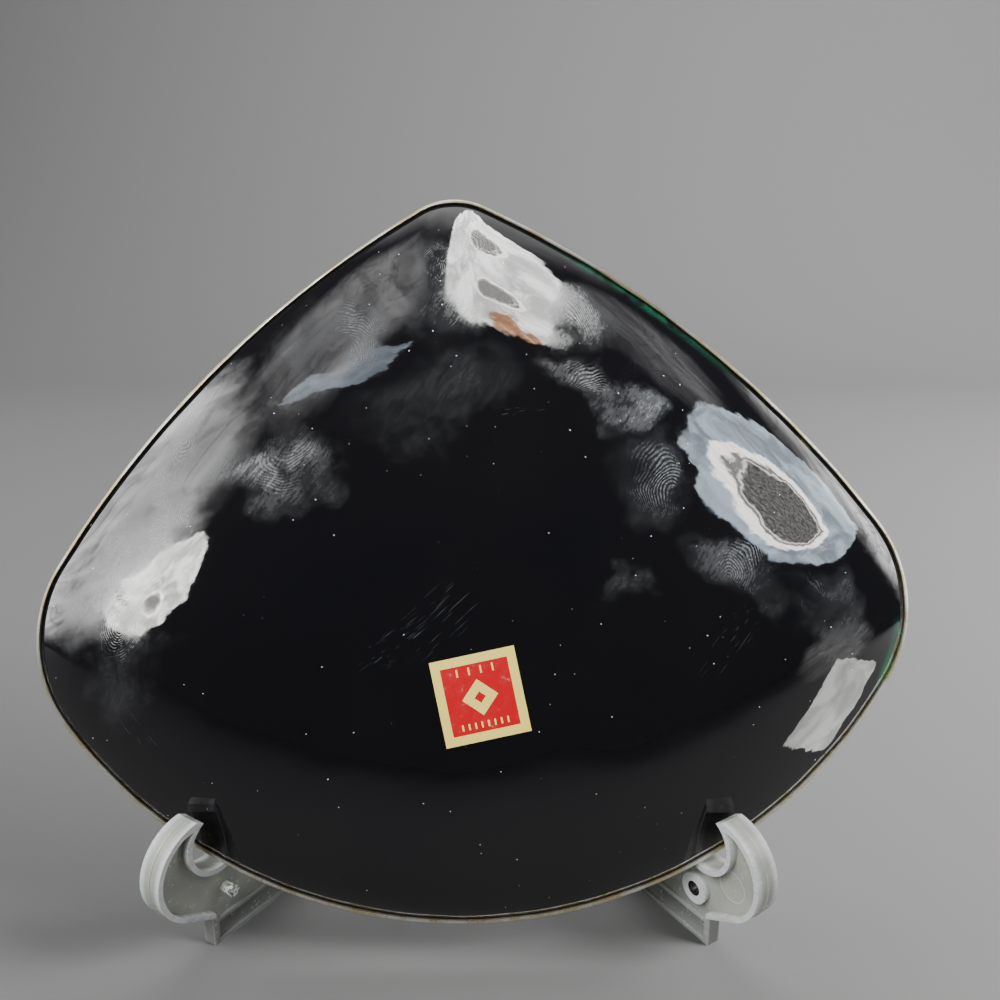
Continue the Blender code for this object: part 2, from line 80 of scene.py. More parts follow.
# Mesh of the dish
COLUMNS = 360
BACK_RINGS = 100
HOLLOW_RINGS = 60
BAND_COLUMNS = 720

# Hammered unevenness under the enamel: wavelength, height, and how steeply it ends at the rim
WAVES = ((36.0 * MM, 0.34 * MM), (15.0 * MM, 0.13 * MM), (6.0 * MM, 0.022 * MM))
BACK_FADE = 8
HOLLOW_FADE = 4
HOLLOW_LAYER = 11.0                # the part of the noise that the hollow takes

# Foil label
LABEL_SIDE = 16.5 * MM
LABEL_RIGHT = 1.0 * MM
LABEL_DOWN = 27.8 * MM
LABEL_TURN = math.radians(8.8)
LABEL_THICKNESS = 0.16 * MM
LABEL_SUNK = 0.05 * MM             # how far its sides reach into the enamel
LABEL_BORDER = 1.75 * MM

# Stand arms: u forwards along the arm, w across it, z up, from the foot's front face
ARM_ANGLE = math.radians(34.0)
FOOT_FROM_MIDDLE = 51.74 * MM      # foot's front face, from the plane between the arms
FOOT_BEHIND_HOOK = 11.9 * MM       # foot's front face, behind the hooks' front
WEB_THICKNESS = 1.6 * MM
FLANGE_WIDTH = 5.5 * MM
HOOK_CENTRE = (1.8 * MM, 20.77 * MM)
HOOK_RADIUS = 10.7 * MM
SOFT_EDGE = 0.16 * MM
SAME_PLACE = 0.002 * MM            # vertices of the CAD mesh that are one
SAME_PLANE = math.radians(0.6)     # faces of the CAD mesh that are one

# Camera of the photograph, from the hooks' front and the plane between the arms
CAMERA_SIDE = 7.86 * MM
CAMERA_BACK = 154.07 * MM
CAMERA_HEIGHT = 150.0 * MM
CAMERA_PITCH = math.radians(18.0)
CAMERA_LENS = 35.64
SENSOR = 36.0
PHOTO_SIDE = 1000.0                # pixels


# Outline and profile of the dish

def tangent_centre(first, first_distance, second, second_distance):
    """The point at the given distances from two centres, on the left of the way between them."""
    across = Vector(second) - Vector(first)
    length = across.length
    along = (first_distance ** 2 - second_distance ** 2 + length ** 2) / (2.0 * length)
    side = math.sqrt(first_distance ** 2 - along ** 2)
    unit = across / length
    point = Vector(first) + unit * along + Vector((-unit.y, unit.x)) * side
    return (point.x, point.y)


def outline_arcs():
    """The right half as (centre, radius, clock angle where it ends), from the top down."""
    middle = DEEPEST_BELOW_MIDDLE
    bottom = (0.0, middle - DISH_HEIGHT / 2 + BOTTOM_RADIUS)
    apex = (0.0, middle + DISH_HEIGHT / 2 - APEX_RADIUS)
    corner_x = DISH_WIDTH / 2 - CORNER_RADIUS
    reach = BOTTOM_RADIUS - CORNER_RADIUS
    corner = (corner_x, bottom[1] - math.sqrt(reach ** 2 - corner_x ** 2))
    side = tangent_centre(corner, SIDE_BOW_RADIUS - CORNER_RADIUS,
                          apex, SIDE_BOW_RADIUS - APEX_RADIUS)

    def meeting(centre, radius, outer_centre):
        away = (Vector(centre) - Vector(outer_centre)).normalized() * radius
        point = Vector(centre) + away
        return math.atan2(point.x, point.y)

    return [
        (apex, APEX_RADIUS, meeting(apex, APEX_RADIUS, side)),
        (side, SIDE_BOW_RADIUS, meeting(corner, CORNER_RADIUS, side)),
        (corner, CORNER_RADIUS, meeting(corner, CORNER_RADIUS, bottom)),
        (bottom, BOTTOM_RADIUS, math.pi),
    ]


OUTLINE = outline_arcs()


def rim_distance(clock):
    """Distance from the deepest point to the outline, in the direction of a clock angle."""
    clock = abs(math.remainder(clock, 2.0 * math.pi))
    centre, radius = next((c, r) for c, r, end in OUTLINE if clock <= end + 1e-9)
    along = centre[0] * math.sin(clock) + centre[1] * math.cos(clock)
    return along + math.sqrt(along ** 2 - centre[0] ** 2 - centre[1] ** 2 + radius ** 2)


def back_height(share):
    crown = CROWN_HEIGHT * (1.0 - share ** 2)
    return EDGE_HEIGHT + crown + SHOULDER_HEIGHT * (1.0 - share ** SHOULDER_POWER)


def back_slope(share, reach):
    shoulder = SHOULDER_POWER * SHOULDER_HEIGHT * share ** (SHOULDER_POWER - 1.0)
    return (2.0 * CROWN_HEIGHT * share + shoulder) / reach


def hollow_point(share, reach):
    """(distance, height) of the hollow's surface, one wall inside the back."""
    slope = back_slope(share, reach)
    depth = (WALL - (WALL - EDGE_WALL) * share ** EDGE_WALL_POWER) / math.hypot(1.0, slope)
    return (share * reach - depth * slope, back_height(share) - depth)


def unevenness(x, y, layer=0.0):
    """Small height of the hammered metal at a place."""
    return sum(height * noise.noise(Vector((x / length, y / length, 3.7 * i + layer)))
               for i, (length, height) in enumerate(WAVES))


def share_at(x, y):
    return math.hypot(x, y) / (rim_distance(math.atan2(x, y)) - EDGE_INSET)


def back_unevenness(x, y, share):
    """The back's unevenness, which ends at the rim."""
    return unevenness(x, y) * (1.0 - share ** BACK_FADE)


def hollow_unevenness(x, y, share):
    return 0.5 * unevenness(x, y, HOLLOW_LAYER) * (1.0 - share ** HOLLOW_FADE)


def back_surface(x, y):
    """Height of the uneven black back over the mouth plane."""
    share = share_at(x, y)
    return back_height(share) + back_unevenness(x, y, share)


def hollow_surface(x, y):
    """Height of the uneven hollow over the mouth plane."""
    reach = rim_distance(math.atan2(x, y)) - EDGE_INSET
    low, high = 0.0, 1.0
    for _ in range(24):
        middle = 0.5 * (low + high)
        if hollow_point(middle, reach)[0] < math.hypot(x, y):
            low = middle
        else:
            high = middle
    return hollow_point(low, reach)[1] + hollow_unevenness(x, y, low)


def dish_frame():
    """Matrix from the dish's axes (right, up, out of the back) to the world, from the CAD box."""
    up = Vector((0.0, math.sin(LEAN), math.cos(LEAN)))
    out = Vector((0.0, -math.cos(LEAN), math.sin(LEAN)))
    axes = Matrix((Vector((1.0, 0.0, 0.0)), up, out)).transposed().to_4x4()
    turned = axes @ Matrix.Rotation(ROLL, 4, "Z")
    edge = []
    for i in range(BAND_COLUMNS):
        clock = 2.0 * math.pi * i / BAND_COLUMNS
        distance = rim_distance(clock)
        for height in (0.0, EDGE_HEIGHT + FIT_GAP):
            edge.append(turned @ Vector((distance * math.sin(clock), distance * math.cos(clock),
                                         height)))
    low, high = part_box("rim_band")
    shift = [0.5 * (low[k] + high[k]) - 0.5 * (min(p[k] for p in edge) + max(p[k] for p in edge))
             for k in (0, 2)]
    shift_y = high.y - max(p.y for p in edge)
    return Matrix.Translation((shift[0], shift_y, shift[1])) @ turned


DISH_FRAME = dish_frame()


# Node trees

NO_DEPTH = 1e3                     # size across which a flat patch doesn't vary


class Nodes:
    """Short calls that add nodes to a tree."""

    def __init__(self, tree, axes=None):
        self.tree = tree
        self.axes = axes

    def put(self, socket, value):
        """Link a socket to another, or set its value."""
        if isinstance(value, bpy.types.NodeSocket):
            self.tree.links.new(value, socket)
        elif isinstance(value, tuple) and len(value) == 3 and socket.type == "RGBA":
            socket.default_value = (*value, 1.0)
        else:
            socket.default_value = value

    def add(self, kind, inputs=None, **settings):
        item = self.tree.nodes.new(kind)
        for key, value in settings.items():
            setattr(item, key, value)
        for key, value in (inputs or {}).items():
            self.put(item.inputs[key], value)
        return item

    def place(self):
        """Coordinates in the piece's own axes, in metres."""
        item = self.add("ShaderNodeMapping", vector_type="TEXTURE")
        self.put(item.inputs["Vector"], self.add("ShaderNodeTexCoord").outputs["Object"])
        item.inputs["Location"].default_value = self.axes.translation
        item.inputs["Rotation"].default_value = self.axes.to_euler()
        return item.outputs["Vector"]

    def mapped(self, vector, location=(0, 0, 0), turn=0.0, scale=(1, 1, 1)):
        """Coordinates in the axes of a patch: from its centre, turned, divided by its size."""
        item = self.add("ShaderNodeMapping", {"Vector": vector}, vector_type="TEXTURE")
        item.inputs["Location"].default_value = location
        item.inputs["Rotation"].default_value = (0.0, 0.0, turn)
        item.inputs["Scale"].default_value = scale
        return item.outputs["Vector"]

    def calc(self, operation, first, second=0.0, clamp=False):
        item = self.add("ShaderNodeMath", operation=operation, use_clamp=clamp)
        self.put(item.inputs[0], first)
        self.put(item.inputs[1], second)
        return item.outputs[0]

    def times(self, first, second, clamp=False):
        return self.calc("MULTIPLY", first, second, clamp)

    def plus(self, first, second, clamp=False):
        return self.calc("ADD", first, second, clamp)

    def rest(self, value):
        """What is left of 1."""
        return self.calc("SUBTRACT", 1.0, value)

    def vector(self, operation, first, second):
        """A calculation with vectors; SCALE takes a number as the second value."""
        key = "Scale" if operation == "SCALE" else 1
        item = self.add("ShaderNodeVectorMath", {0: first, key: second}, operation=operation)
        return item.outputs["Vector"]

    def span(self, value, low, high, start=0.0, end=1.0):
        """A smooth step from start to end, as a value goes from low to high."""
        item = self.add("ShaderNodeMapRange", {"Value": value, "From Min": low, "From Max": high,
                                               "To Min": start, "To Max": end},
                        interpolation_type="SMOOTHSTEP")
        return item.outputs["Result"]

    def length(self, vector):
        return self.add("ShaderNodeVectorMath", {0: vector}, operation="LENGTH").outputs["Value"]

    def split(self, vector):
        return self.add("ShaderNodeSeparateXYZ", {0: vector}).outputs

    def noise(self, vector, scale, detail=3.0, rough=0.5, distortion=0.0, output="Fac"):
        item = self.add("ShaderNodeTexNoise", {"Vector": vector, "Scale": scale, "Detail": detail,
                                               "Roughness": rough, "Distortion": distortion})
        return item.outputs[output]

    def ease(self, factor, first, second):
        """A value between two others."""
        return self.add("ShaderNodeMix", {"Factor": factor, "A": first, "B": second}).outputs[0]

    def mix(self, factor, first, second):
        item = self.add("ShaderNodeMix", data_type="RGBA")
        self.put(item.inputs["Factor"], factor)
        self.put(item.inputs[6], first)
        self.put(item.inputs[7], second)
        return item.outputs[2]

    def bump(self, height, distance, normal=None):
        inputs = {"Height": height, "Distance": distance, "Strength": 1.0}
        if normal is not None:
            inputs["Normal"] = normal
        return self.add("ShaderNodeBump", inputs).outputs["Normal"]

    def oval(self, vector, right, up, half_width, half_height, turn):
        """Coordinates in an ellipse on the dish's plane, which is given in mm and degrees."""
        return self.mapped(vector, (right * MM, up * MM, 0.0), math.radians(turn),
                           (half_width * MM, half_height * MM, NO_DEPTH))

    def patch(self, vector, right, up, half_width, half_height, turn, edge):
        """1 in an ellipse, falling to 0 past its edge."""
        reach = self.length(self.oval(vector, right, up, half_width, half_height, turn))
        return self.span(reach, 1.0, 1.0 - edge)

    def total(self, values):
        result = values[0]
        for value in values[1:]:
            result = self.plus(result, value)
        return result


class Paint(Nodes):
    """A Principled material."""

    def __init__(self, name, axes=None):
        self.material = bpy.data.materials.new(name)
        self.material.use_nodes = True
        super().__init__(self.material.node_tree, axes)
        self.shader = self.tree.nodes["Principled BSDF"]

    def set(self, **inputs):
        """Set the shader's own inputs; an underscore in a name stands for a space."""
        for key, value in inputs.items():
            self.put(self.shader.inputs[key.replace("_", " ")], value)


# Marks on the black back, in millimetres and degrees of the dish's axes
# Smudges: right, up, half width, half height, turn, strength
SMUDGES = (
    (-63, 18, 13, 26, -32, 0.80),
    (-33, 26, 11, 12, -20, 1.10),
    (-44, 26, 9, 10, 10, 0.70),
    (-74, 4, 9, 16, -30, 0.70),
    (-24, 52, 17, 13, 30, 0.35),
    (-2, 60, 8, 16, 12, 0.60),
    (-4, 38, 22, 8, 12, 0.35),
    (25, 54, 7, 9, 30, 0.75),
    (24, 41, 10, 5, -35, 0.70),
    (33, 34, 8, 6, 20, 1.00),
    (37, 19, 10, 12, 25, 0.40),
    (29, -2, 7, 4, 20, 0.80),
    (53, 1, 12, 7, -30, 0.75),
    (70, -6, 9, 10, 0, 0.60),
    (-68, -14, 9, 12, -20, 0.35),
)
# Fingerprints: right, up, half width, half height, turn, then the loop's eye from there
PRINTS = (
    (-34, 27, 8.5, 9, -25, 4, 9),
    (-60, 20, 8, 11, -35, -2, 8),
    (-69, 8, 7, 9, -20, 3, -7),
    (-56, 34, 6, 8, 15, 1.5, 2.5),
    (26, 55, 5, 7, 20, -5, -3),
    (25, 41, 6, 4, -30, 2, -7),
    (37, 20, 8, 9, 25, 8, -4),
    (55, 1.5, 8, 6.5, -20, -3, 1),
    (3.5, 71, 4.5, 6, 10, 0.5, 0.5),
    (-4, 66, 4, 7, -10, 6, 2),
    (-19.5, 53, 8, 10, 20, 0.5, -1),
    (-69, -4, 6, 8, -10, 2, 4),
    (66, -3, 6, 6, 15, -4, 3),
)
# Bundles of fine scratches: right, up, half length, half width, direction
SCRATCHES = (
    (-6, -5, 13, 7, 40),
    (-15, -9, 10, 5, 36),
    (12.5, 35, 8, 1.6, 8),
    (7.2, 27, 6, 0.9, -79),
    (-66, -24, 9, 3, -55),
    (33, 40, 7, 2, 62),
    (50, -12, 12, 5, 50),
)
WIPED = 52.0                       # direction of the fine streaks in the smudges


def wiped_haze(paint, place, cloud, fine):
    """Smudges with ragged outlines, mottled and streaked inside."""
    wiped = paint.mapped(place, turn=math.radians(WIPED), scale=(7.0, 1.0, 1.0))
    streak = paint.noise(wiped, 2100.0, 3.0, 0.6, 0.5)
    mottled = paint.times(paint.span(cloud, 0.32, 0.62, 0.25, 1.0),
                          paint.span(streak, 0.34, 0.66, 0.50, 1.0))
    mottled = paint.times(mottled, paint.span(fine, 0.3, 0.7, 0.70, 1.0))
    ragged = paint.vector("SUBTRACT", paint.noise(place, 75.0, 4.0, 0.6, output="Color"),
                          (0.5, 0.5, 0.5))
    ragged = paint.vector("ADD", place, paint.vector("SCALE", ragged, 26.0 * MM))
    smudge = paint.total([paint.times(paint.patch(ragged, *oval, 0.7), strength)
                          for *oval, strength in SMUDGES])
    return paint.times(paint.times(mottled, 0.85), smudge, clamp=True)


def fingerprints(paint, place, cloud, fine):
    """Loops of ridges that break up where the finger touched less."""
    drift = paint.noise(place, 130.0, 1.0, output="Color")
    bent = paint.vector("ADD", place, paint.vector("SCALE", drift, 5.0 * MM))
    ridges = []
    for i, (right, up, half_width, half_height, turn, *eye) in enumerate(PRINTS):
        loop = ((right + eye[0]) * MM, (up + eye[1]) * MM, 0.0)
        turned = paint.mapped(bent, loop, math.radians(turn), (1.0, 1.5, 1.0))
        rings = paint.add("ShaderNodeTexWave", {"Vector": turned, "Scale": 640.0 + 40.0 * (i % 3),
                                                "Distortion": 1.6, "Detail": 1.5,
                                                "Detail Scale": 1.4},
                          wave_type="RINGS", rings_direction="Z").outputs["Fac"]
        inside = paint.patch(place, right, up, half_width, half_height, turn, 0.6)
        ridges.append(paint.times(paint.span(rings, 0.30, 0.80), inside))
    prints = paint.times(paint.total(ridges), paint.span(cloud, 0.36, 0.62))
    return paint.times(prints, paint.span(fine, 0.35, 0.6, 0.3, 1.0))


def fine_scratches(paint, place):
    lines = []
    for right, up, half_length, half_width, turn in SCRATCHES:
        along = paint.mapped(place, (right * MM, up * MM, 0.0), math.radians(turn),
                             (110.0, 1.0, 1.0))
        thin = paint.noise(along, 7800.0, 1.0, 0.4)
        inside = paint.patch(place, right, up, half_length, half_width, turn, 0.6)
        lines.append(paint.times(paint.span(thin, 0.69, 0.76), inside))
    return paint.total(lines)


def dust_specks(paint, place):
    """Small round specks, more of them in some places."""
    cells = paint.add("ShaderNodeTexVoronoi", {"Vector": place, "Scale": 560.0})
    chance = paint.split(cells.outputs["Color"])
    reach = paint.times(paint.calc("POWER", chance[1], 2.0), 0.085)
    small = paint.calc("LESS_THAN", cells.outputs["Distance"], reach)
    busy = paint.span(paint.noise(place, 22.0, 2.0), 0.40, 0.60, 0.62, 0.20)
    return paint.times(small, paint.calc("GREATER_THAN", chance[0], busy))


def enamel_black():
    """Mirror black enamel with handling marks, fine scratches and specks of dust."""
    paint = Paint("black_enamel", DISH_FRAME)
    place = paint.place()
    cloud = paint.noise(place, 90.0, 6.0, 0.62, 0.6)
    fine = paint.noise(place, 1900.0, 3.0, 0.6)
    marks = paint.plus(paint.times(wiped_haze(paint, place, cloud, fine), 0.8),
                       paint.times(fingerprints(paint, place, cloud, fine), 0.5), clamp=True)
    scratches = fine_scratches(paint, place)
    dust = dust_specks(paint, place)

    pale = paint.plus(paint.times(scratches, 0.07), paint.times(dust, 0.5))
    pale = paint.plus(paint.times(marks, 0.09), pale, clamp=True)
    black = paint.mix(paint.noise(place, 35.0, 2.0), (0.0018, 0.0018, 0.0026),
                      (0.0034, 0.0032, 0.0038))
    tinted, tint = rim_tints(paint, place)
    colour = paint.mix(pale, paint.mix(tinted, black, tint), (0.62, 0.64, 0.66))
    rough = paint.plus(paint.times(marks, 0.50), paint.times(scratches, 0.15))
    rough = paint.plus(paint.plus(rough, paint.times(dust, 0.4)), 0.025, clamp=True)
    peel = paint.bump(paint.noise(place, 240.0, 2.0, 0.5), 0.014 * MM)
    paint.set(Base_Color=colour, Roughness=rough, Normal=peel, IOR=1.52)
    return paint.material


def rim_tints(paint, place):
    """(how much, colour) of the green and brown enamel that comes round the rim in places."""
    share = paint.add("ShaderNodeAttribute", attribute_name="share").outputs["Fac"]
    edge = paint.span(share, 0.965, 0.995)
    ragged = paint.span(paint.noise(place, 240.0, 4.0, 0.6), 0.36, 0.56)
    green = paint.plus(paint.patch(place, 36, 48, 34, 12, -42, 0.4),
                       paint.patch(place, 88, -20, 9, 12, 0, 0.4))
    brown = paint.patch(place, 67, 25, 5, 4, 0, 0.5)
    amount = paint.times(paint.times(edge, ragged), paint.plus(green, brown), clamp=True)
    return amount, paint.mix(brown, (0.004, 0.055, 0.030), (0.10, 0.05, 0.012))


# Cloisonne picture in the hollow, in millimetres of the dish's axes
# Blossoms: right, up, radius, turn. Leaves: right, up, half length, half width, direction.
BLOSSOMS = (
    (-27, 3, 12, 10),
    (8, -7, 11, -15),
    (-3, 27, 9.5, 25),
    (36, 3, 9, 5),
    (14, 50, 4.6, 12),
    (-53, -7, 5.2, 30),
    (57, -21, 4.8, 0),
)
LEAVES = (
    (-46, -25, 9, 3.4, 28),
    (-23, -29, 8.5, 3.2, -22),
    (29, -31, 9, 3.4, -18),
    (48, -8, 8, 3, 32),
    (21, 27, 8.5, 3.2, 62),
    (-14, 44, 7.5, 2.8, 118),
    (3, -34, 7, 2.7, -58),
    (-44, 12, 7, 2.6, 140),
)
STEMS = (
    ((-62, -36), (-42, -18), (-24, -14), (-8, -20), (12, -22), (34, -18), (57, -21)),
    ((-24, -14), (-27, 3), (-14, 16), (-3, 27), (8, 38), (14, 50)),
    ((-42, -18), (-48, -14), (-53, -7)),
    ((34, -18), (38, -8), (36, 3)),
)
BORDER_SHARES = (0.925, 0.885)
WIRE_WIDTH = 0.14 * MM             # from the middle to the side
WIRE_RISE = 0.12 * MM              # over the enamel
WIRE_ROOT = 0.2 * MM               # under its surface
PETALS = 5
NOTCH = 0.62                       # petals' notches and centre, as shares of a blossom's radius
CENTRE = 0.22


def petal_reach(angle):
    """Outline of a blossom of radius 1, with a notch between petals."""
    return NOTCH + (1.0 - NOTCH) * math.sqrt(abs(math.cos(0.5 * PETALS * angle)))


def blossom_cells(paint, place, right, up, radius, turn):
    """(inside the petals, inside the centre, share of the way out) of one blossom."""
    local = paint.oval(place, right, up, radius, radius, turn)
    x, y = paint.split(local)[:2]
    reach = paint.length(local)
    angle = paint.calc("ARCTAN2", y, x)
    wave = paint.calc("ABSOLUTE", paint.calc("COSINE", paint.times(angle, 0.5 * PETALS)))
    edge = paint.calc("MULTIPLY_ADD", paint.calc("POWER", wave, 0.5), 1.0 - NOTCH)
    edge.node.inputs[2].default_value = NOTCH
    petals = paint.calc("LESS_THAN", reach, edge)
    return petals, paint.calc("LESS_THAN", reach, CENTRE), reach


def leaf_cell(paint, place, leaf):
    x, y = paint.split(paint.oval(place, *leaf))[:2]
    spread = paint.plus(paint.calc("ABSOLUTE", y), paint.times(x, x))
    return paint.calc("LESS_THAN", spread, 1.0)


def enamel_green():
    """Deep green translucent enamel over an embossed foil, with cells of white and leaf green."""
    paint = Paint("green_enamel", DISH_FRAME)
    place = paint.place()
    cells = paint.add("ShaderNodeTexVoronoi", {"Vector": place, "Scale": 420.0},
                      feature="DISTANCE_TO_EDGE").outputs["Distance"]
    scale = paint.span(cells, 0.02, 0.30)
    depth = paint.noise(place, 26.0, 4.0, 0.6)
    deep = paint.mix(paint.span(depth, 0.35, 0.65), (0.002, 0.060, 0.030), (0.008, 0.130, 0.055))
    share = paint.add("ShaderNodeAttribute", attribute_name="share").outputs["Fac"]
    shaded = paint.mix(paint.span(share, 0.55, 1.0, 0.0, 0.75), deep, (0.002, 0.026, 0.016))
    colour = paint.mix(paint.span(scale, 0.0, 1.0, 0.5, 0.0), shaded, (0.001, 0.020, 0.010))
    grain = paint.noise(place, 900.0, 3.0, 0.6)
    fill = paint.total([leaf_cell(paint, place, leaf) for leaf in LEAVES])
    leaf_tone = paint.mix(paint.span(grain, 0.35, 0.65), (0.060, 0.200, 0.030),
                          (0.120, 0.290, 0.050))
    colour = paint.mix(fill, colour, leaf_tone)
    opaque = [fill]
    for blossom in BLOSSOMS:
        petals, centre, reach = blossom_cells(paint, place, *blossom)
        cloudy = paint.plus(reach, paint.span(grain, 0.3, 0.7, -0.12, 0.12))
        petal = paint.mix(paint.span(cloudy, 0.25, 0.85), (0.70, 0.16, 0.17), (0.80, 0.70, 0.64))
        colour = paint.mix(petals, colour, petal)
        colour = paint.mix(centre, colour, (0.62, 0.36, 0.03))
        opaque.append(petals)
    clear = paint.rest(paint.calc("MINIMUM", paint.total(opaque), 1.0))
    relief = paint.bump(paint.times(scale, clear), 0.05 * MM)
    paint.set(Base_Color=colour, Roughness=0.34, Metallic=paint.times(clear, 0.55), Normal=relief,
              Coat_Weight=1.0, Coat_Roughness=0.04, Coat_IOR=1.5)
    return paint.material


def rim_metal(name):
    """Silvered metal, rubbed and slightly golden, with small dull patches."""
    paint = Paint(name, DISH_FRAME)
    place = paint.place()
    tone = paint.noise(place, 170.0, 5.0, 0.65)
    tiny = paint.noise(place, 1500.0, 3.0, 0.6)
    colour = paint.mix(paint.span(tone, 0.40, 0.62), (0.86, 0.83, 0.74), (0.70, 0.60, 0.36))
    dull = paint.span(tiny, 0.56, 0.72)
    colour = paint.mix(paint.times(dull, 0.55), colour, (0.16, 0.14, 0.10))
    rough = paint.plus(paint.times(dull, 0.20), 0.36)
    paint.set(Base_Color=colour, Roughness=rough, Metallic=1.0, Normal=paint.bump(tiny, 0.03 * MM))
    return paint.material


def label_paint(name, colour, worn, gloss):
    """Printed foil with a faint grain and rubbed spots."""
    paint = Paint(name, DISH_FRAME)
    place = paint.place()
    grain = paint.noise(place, 5200.0, 2.0, 0.6)
    rub = paint.noise(place, 620.0, 5.0, 0.7)
    tinted = paint.mix(paint.span(grain, 0.35, 0.7, 0.0, 0.35), colour, worn)
    tinted = paint.mix(paint.span(rub, 0.60, 0.75, 0.0, 0.30), tinted, (0.75, 0.70, 0.60))
    paint.set(Base_Color=tinted, Roughness=paint.span(rub, 0.3, 0.7, gloss, gloss + 0.15),
              Normal=paint.bump(grain, 0.006 * MM), IOR=1.45)
    return paint.material


SHADE_BELOW = (10.5 * MM, 3.0 * MM)     # painted shade: the web darkens between these heights
# Round places on the arms' webs: place in the arm's axes (u, z) and radius
EJECTOR = (4.4 * MM, 17.2 * MM, 3.2 * MM)
BOSS_HOLE = (-4.2 * MM, 11.8 * MM, 1.6 * MM)
PIN_END = (-4.2 * MM, 11.8 * MM, 1.4 * MM)


def round_place(paint, place, u, z, radius):
    """Distance from a round place on an arm's web, as a share of its radius."""
    return paint.length(paint.mapped(place, (u, 0.0, z), 0.0, (radius, NO_DEPTH, radius)))


def smoky_plastic(name, axes, side, edges=False):
    """Grey semi-clear moulded plastic: whitish flanges, darker thin web, painted shade low on the
    web and rail, painted highlights on edges.
    """
    paint = Paint(name, axes)
    place = paint.place()
    _, across, up = paint.split(place)
    flange = paint.span(paint.calc("ABSOLUTE", across), 0.6 * WEB_THICKNESS, 0.44 * FLANGE_WIDTH)
    flow = paint.noise(paint.mapped(place, scale=(1.0, 1.0, 0.16)), 300.0, 3.0, 0.5, 0.6)
    cloud = paint.noise(place, 80.0, 3.0, 0.55)
    web = paint.mix(paint.span(cloud, 0.3, 0.7), (0.330, 0.342, 0.305), (0.460, 0.472, 0.425))
    # Painted shade: darker towards the bottom of the web and on the rail.
    low = paint.span(up, *SHADE_BELOW)
    web = paint.mix(paint.times(low, 0.6), web, (0.110, 0.116, 0.118))
    pale = paint.mix(paint.span(flow, 0.3, 0.7), (0.62, 0.64, 0.65), (0.76, 0.78, 0.78))
    # With edges set, the whole material takes the pale flange colour: a painted highlight for the
    # bevelled edges.
    colour = paint.mix(1.0 if edges else paint.times(flange, 0.92), web, pale)
    cells = paint.add("ShaderNodeTexVoronoi", {"Vector": place, "Scale": 620.0})
    chance = paint.split(cells.outputs["Color"])
    speck = paint.times(paint.span(cells.outputs["Distance"], 0.11, 0.05),
                        paint.span(chance[0], 0.80, 0.84))
    colour = paint.mix(paint.times(speck, 0.7), colour, (0.88, 0.89, 0.89))
    scuff = paint.noise(place, 700.0, 4.0, 0.6)
    rough = paint.plus(paint.span(scuff, 0.3, 0.75, 0.14, 0.30), paint.times(speck, 0.3))
    relief = paint.bump(flow, 0.02 * MM)
    relief = paint.bump(scuff, 0.006 * MM, relief)
    if side > 0:
        mark = round_place(paint, place, *EJECTOR)
        on_web = paint.rest(flange)
        line = paint.times(paint.span(mark, 0.92, 0.98), paint.span(mark, 1.08, 1.02))
        line = paint.times(line, on_web)
        inside = paint.times(paint.span(mark, 1.0, 0.95), on_web)
        colour = paint.mix(paint.times(inside, 0.30), colour, (0.50, 0.51, 0.44))
        colour = paint.mix(paint.times(line, 0.45), colour, (0.72, 0.73, 0.70))
        # Painted shade: the boss's hole and its walls are painted near black.
        hole_shade = paint.span(round_place(paint, place, *BOSS_HOLE), 1.0, 0.96)
        colour = paint.mix(hole_shade, colour, (0.012, 0.012, 0.013))
        relief = paint.bump(line, 0.06 * MM, relief)
    else:
        # Painted highlight: the pin's end is mottled dark and near white, as glints on it.
        end = paint.span(round_place(paint, place, *PIN_END), 1.0, 0.9)
        patchy = paint.span(paint.noise(place, 1300.0, 3.0, 0.6), 0.44, 0.56)
        painted_glints = paint.mix(patchy, (0.20, 0.21, 0.20), (0.92, 0.93, 0.92))
        colour = paint.mix(paint.times(end, flange), colour, painted_glints)
    paint.set(Base_Color=colour, Roughness=rough, Normal=relief, IOR=1.49,
              Transmission_Weight=0.18, Subsurface_Weight=0.25, Subsurface_Scale=0.8 * MM)
    return paint.material


# Pieces

def add_object(name, data):
    item = bpy.data.objects.new(name, data)
    bpy.context.scene.collection.objects.link(item)
    return item


def mesh_object(name, bm, materials):
    mesh = bpy.data.meshes.new(name)
    bm.to_mesh(mesh)
    bm.free()
    for material in materials:
        mesh.materials.append(material)
    mesh.shade_smooth()
    return add_object(name, mesh)


def new_piece(name, bm, materials, matrix, nodes, smooth_angle=40.0):
    """A piece from a bmesh in its own axes, riding on the object's one body."""
    bmesh.ops.transform(bm, matrix=matrix, verts=bm.verts)
    piece = mesh_object(name, bm, materials)
    piece.data.set_sharp_from_angle(angle=math.radians(smooth_angle))
    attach(piece, "root")
    if nodes:
        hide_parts(*nodes)
    return piece


def ring(bm, layer, columns, points):
    """A closed ring of vertices from a function of the clock angle: (distance, height, share)."""
    verts = []
    for i in range(columns):
        clock = 2.0 * math.pi * i / columns
        distance, height, share = points(clock)
        vert = bm.verts.new((distance * math.sin(clock), distance * math.cos(clock), height))
        if layer is not None:
            vert[layer] = share
        verts.append(vert)
    return verts


def bridge(bm, rings, material_index=0, closed=False):
    """Faces between closed rings of vertices; closed also joins the last ring to the first."""
    pairs = list(zip(rings, rings[1:]))
    if closed:
        pairs.append((rings[-1], rings[0]))
    for first, second in pairs:
        count = len(first)
        for i in range(count):
            j = (i + 1) % count
            face = bm.faces.new((first[i], first[j], second[j], second[i]))
            face.material_index = material_index


def rod(bm, rings, closed=False):
    """Faces round a bar with the given sections, with flat ends unless it is closed."""
    bridge(bm, rings, closed=closed)
    if not closed:
        bm.faces.new(rings[0])
        bm.faces.new(rings[-1][::-1])


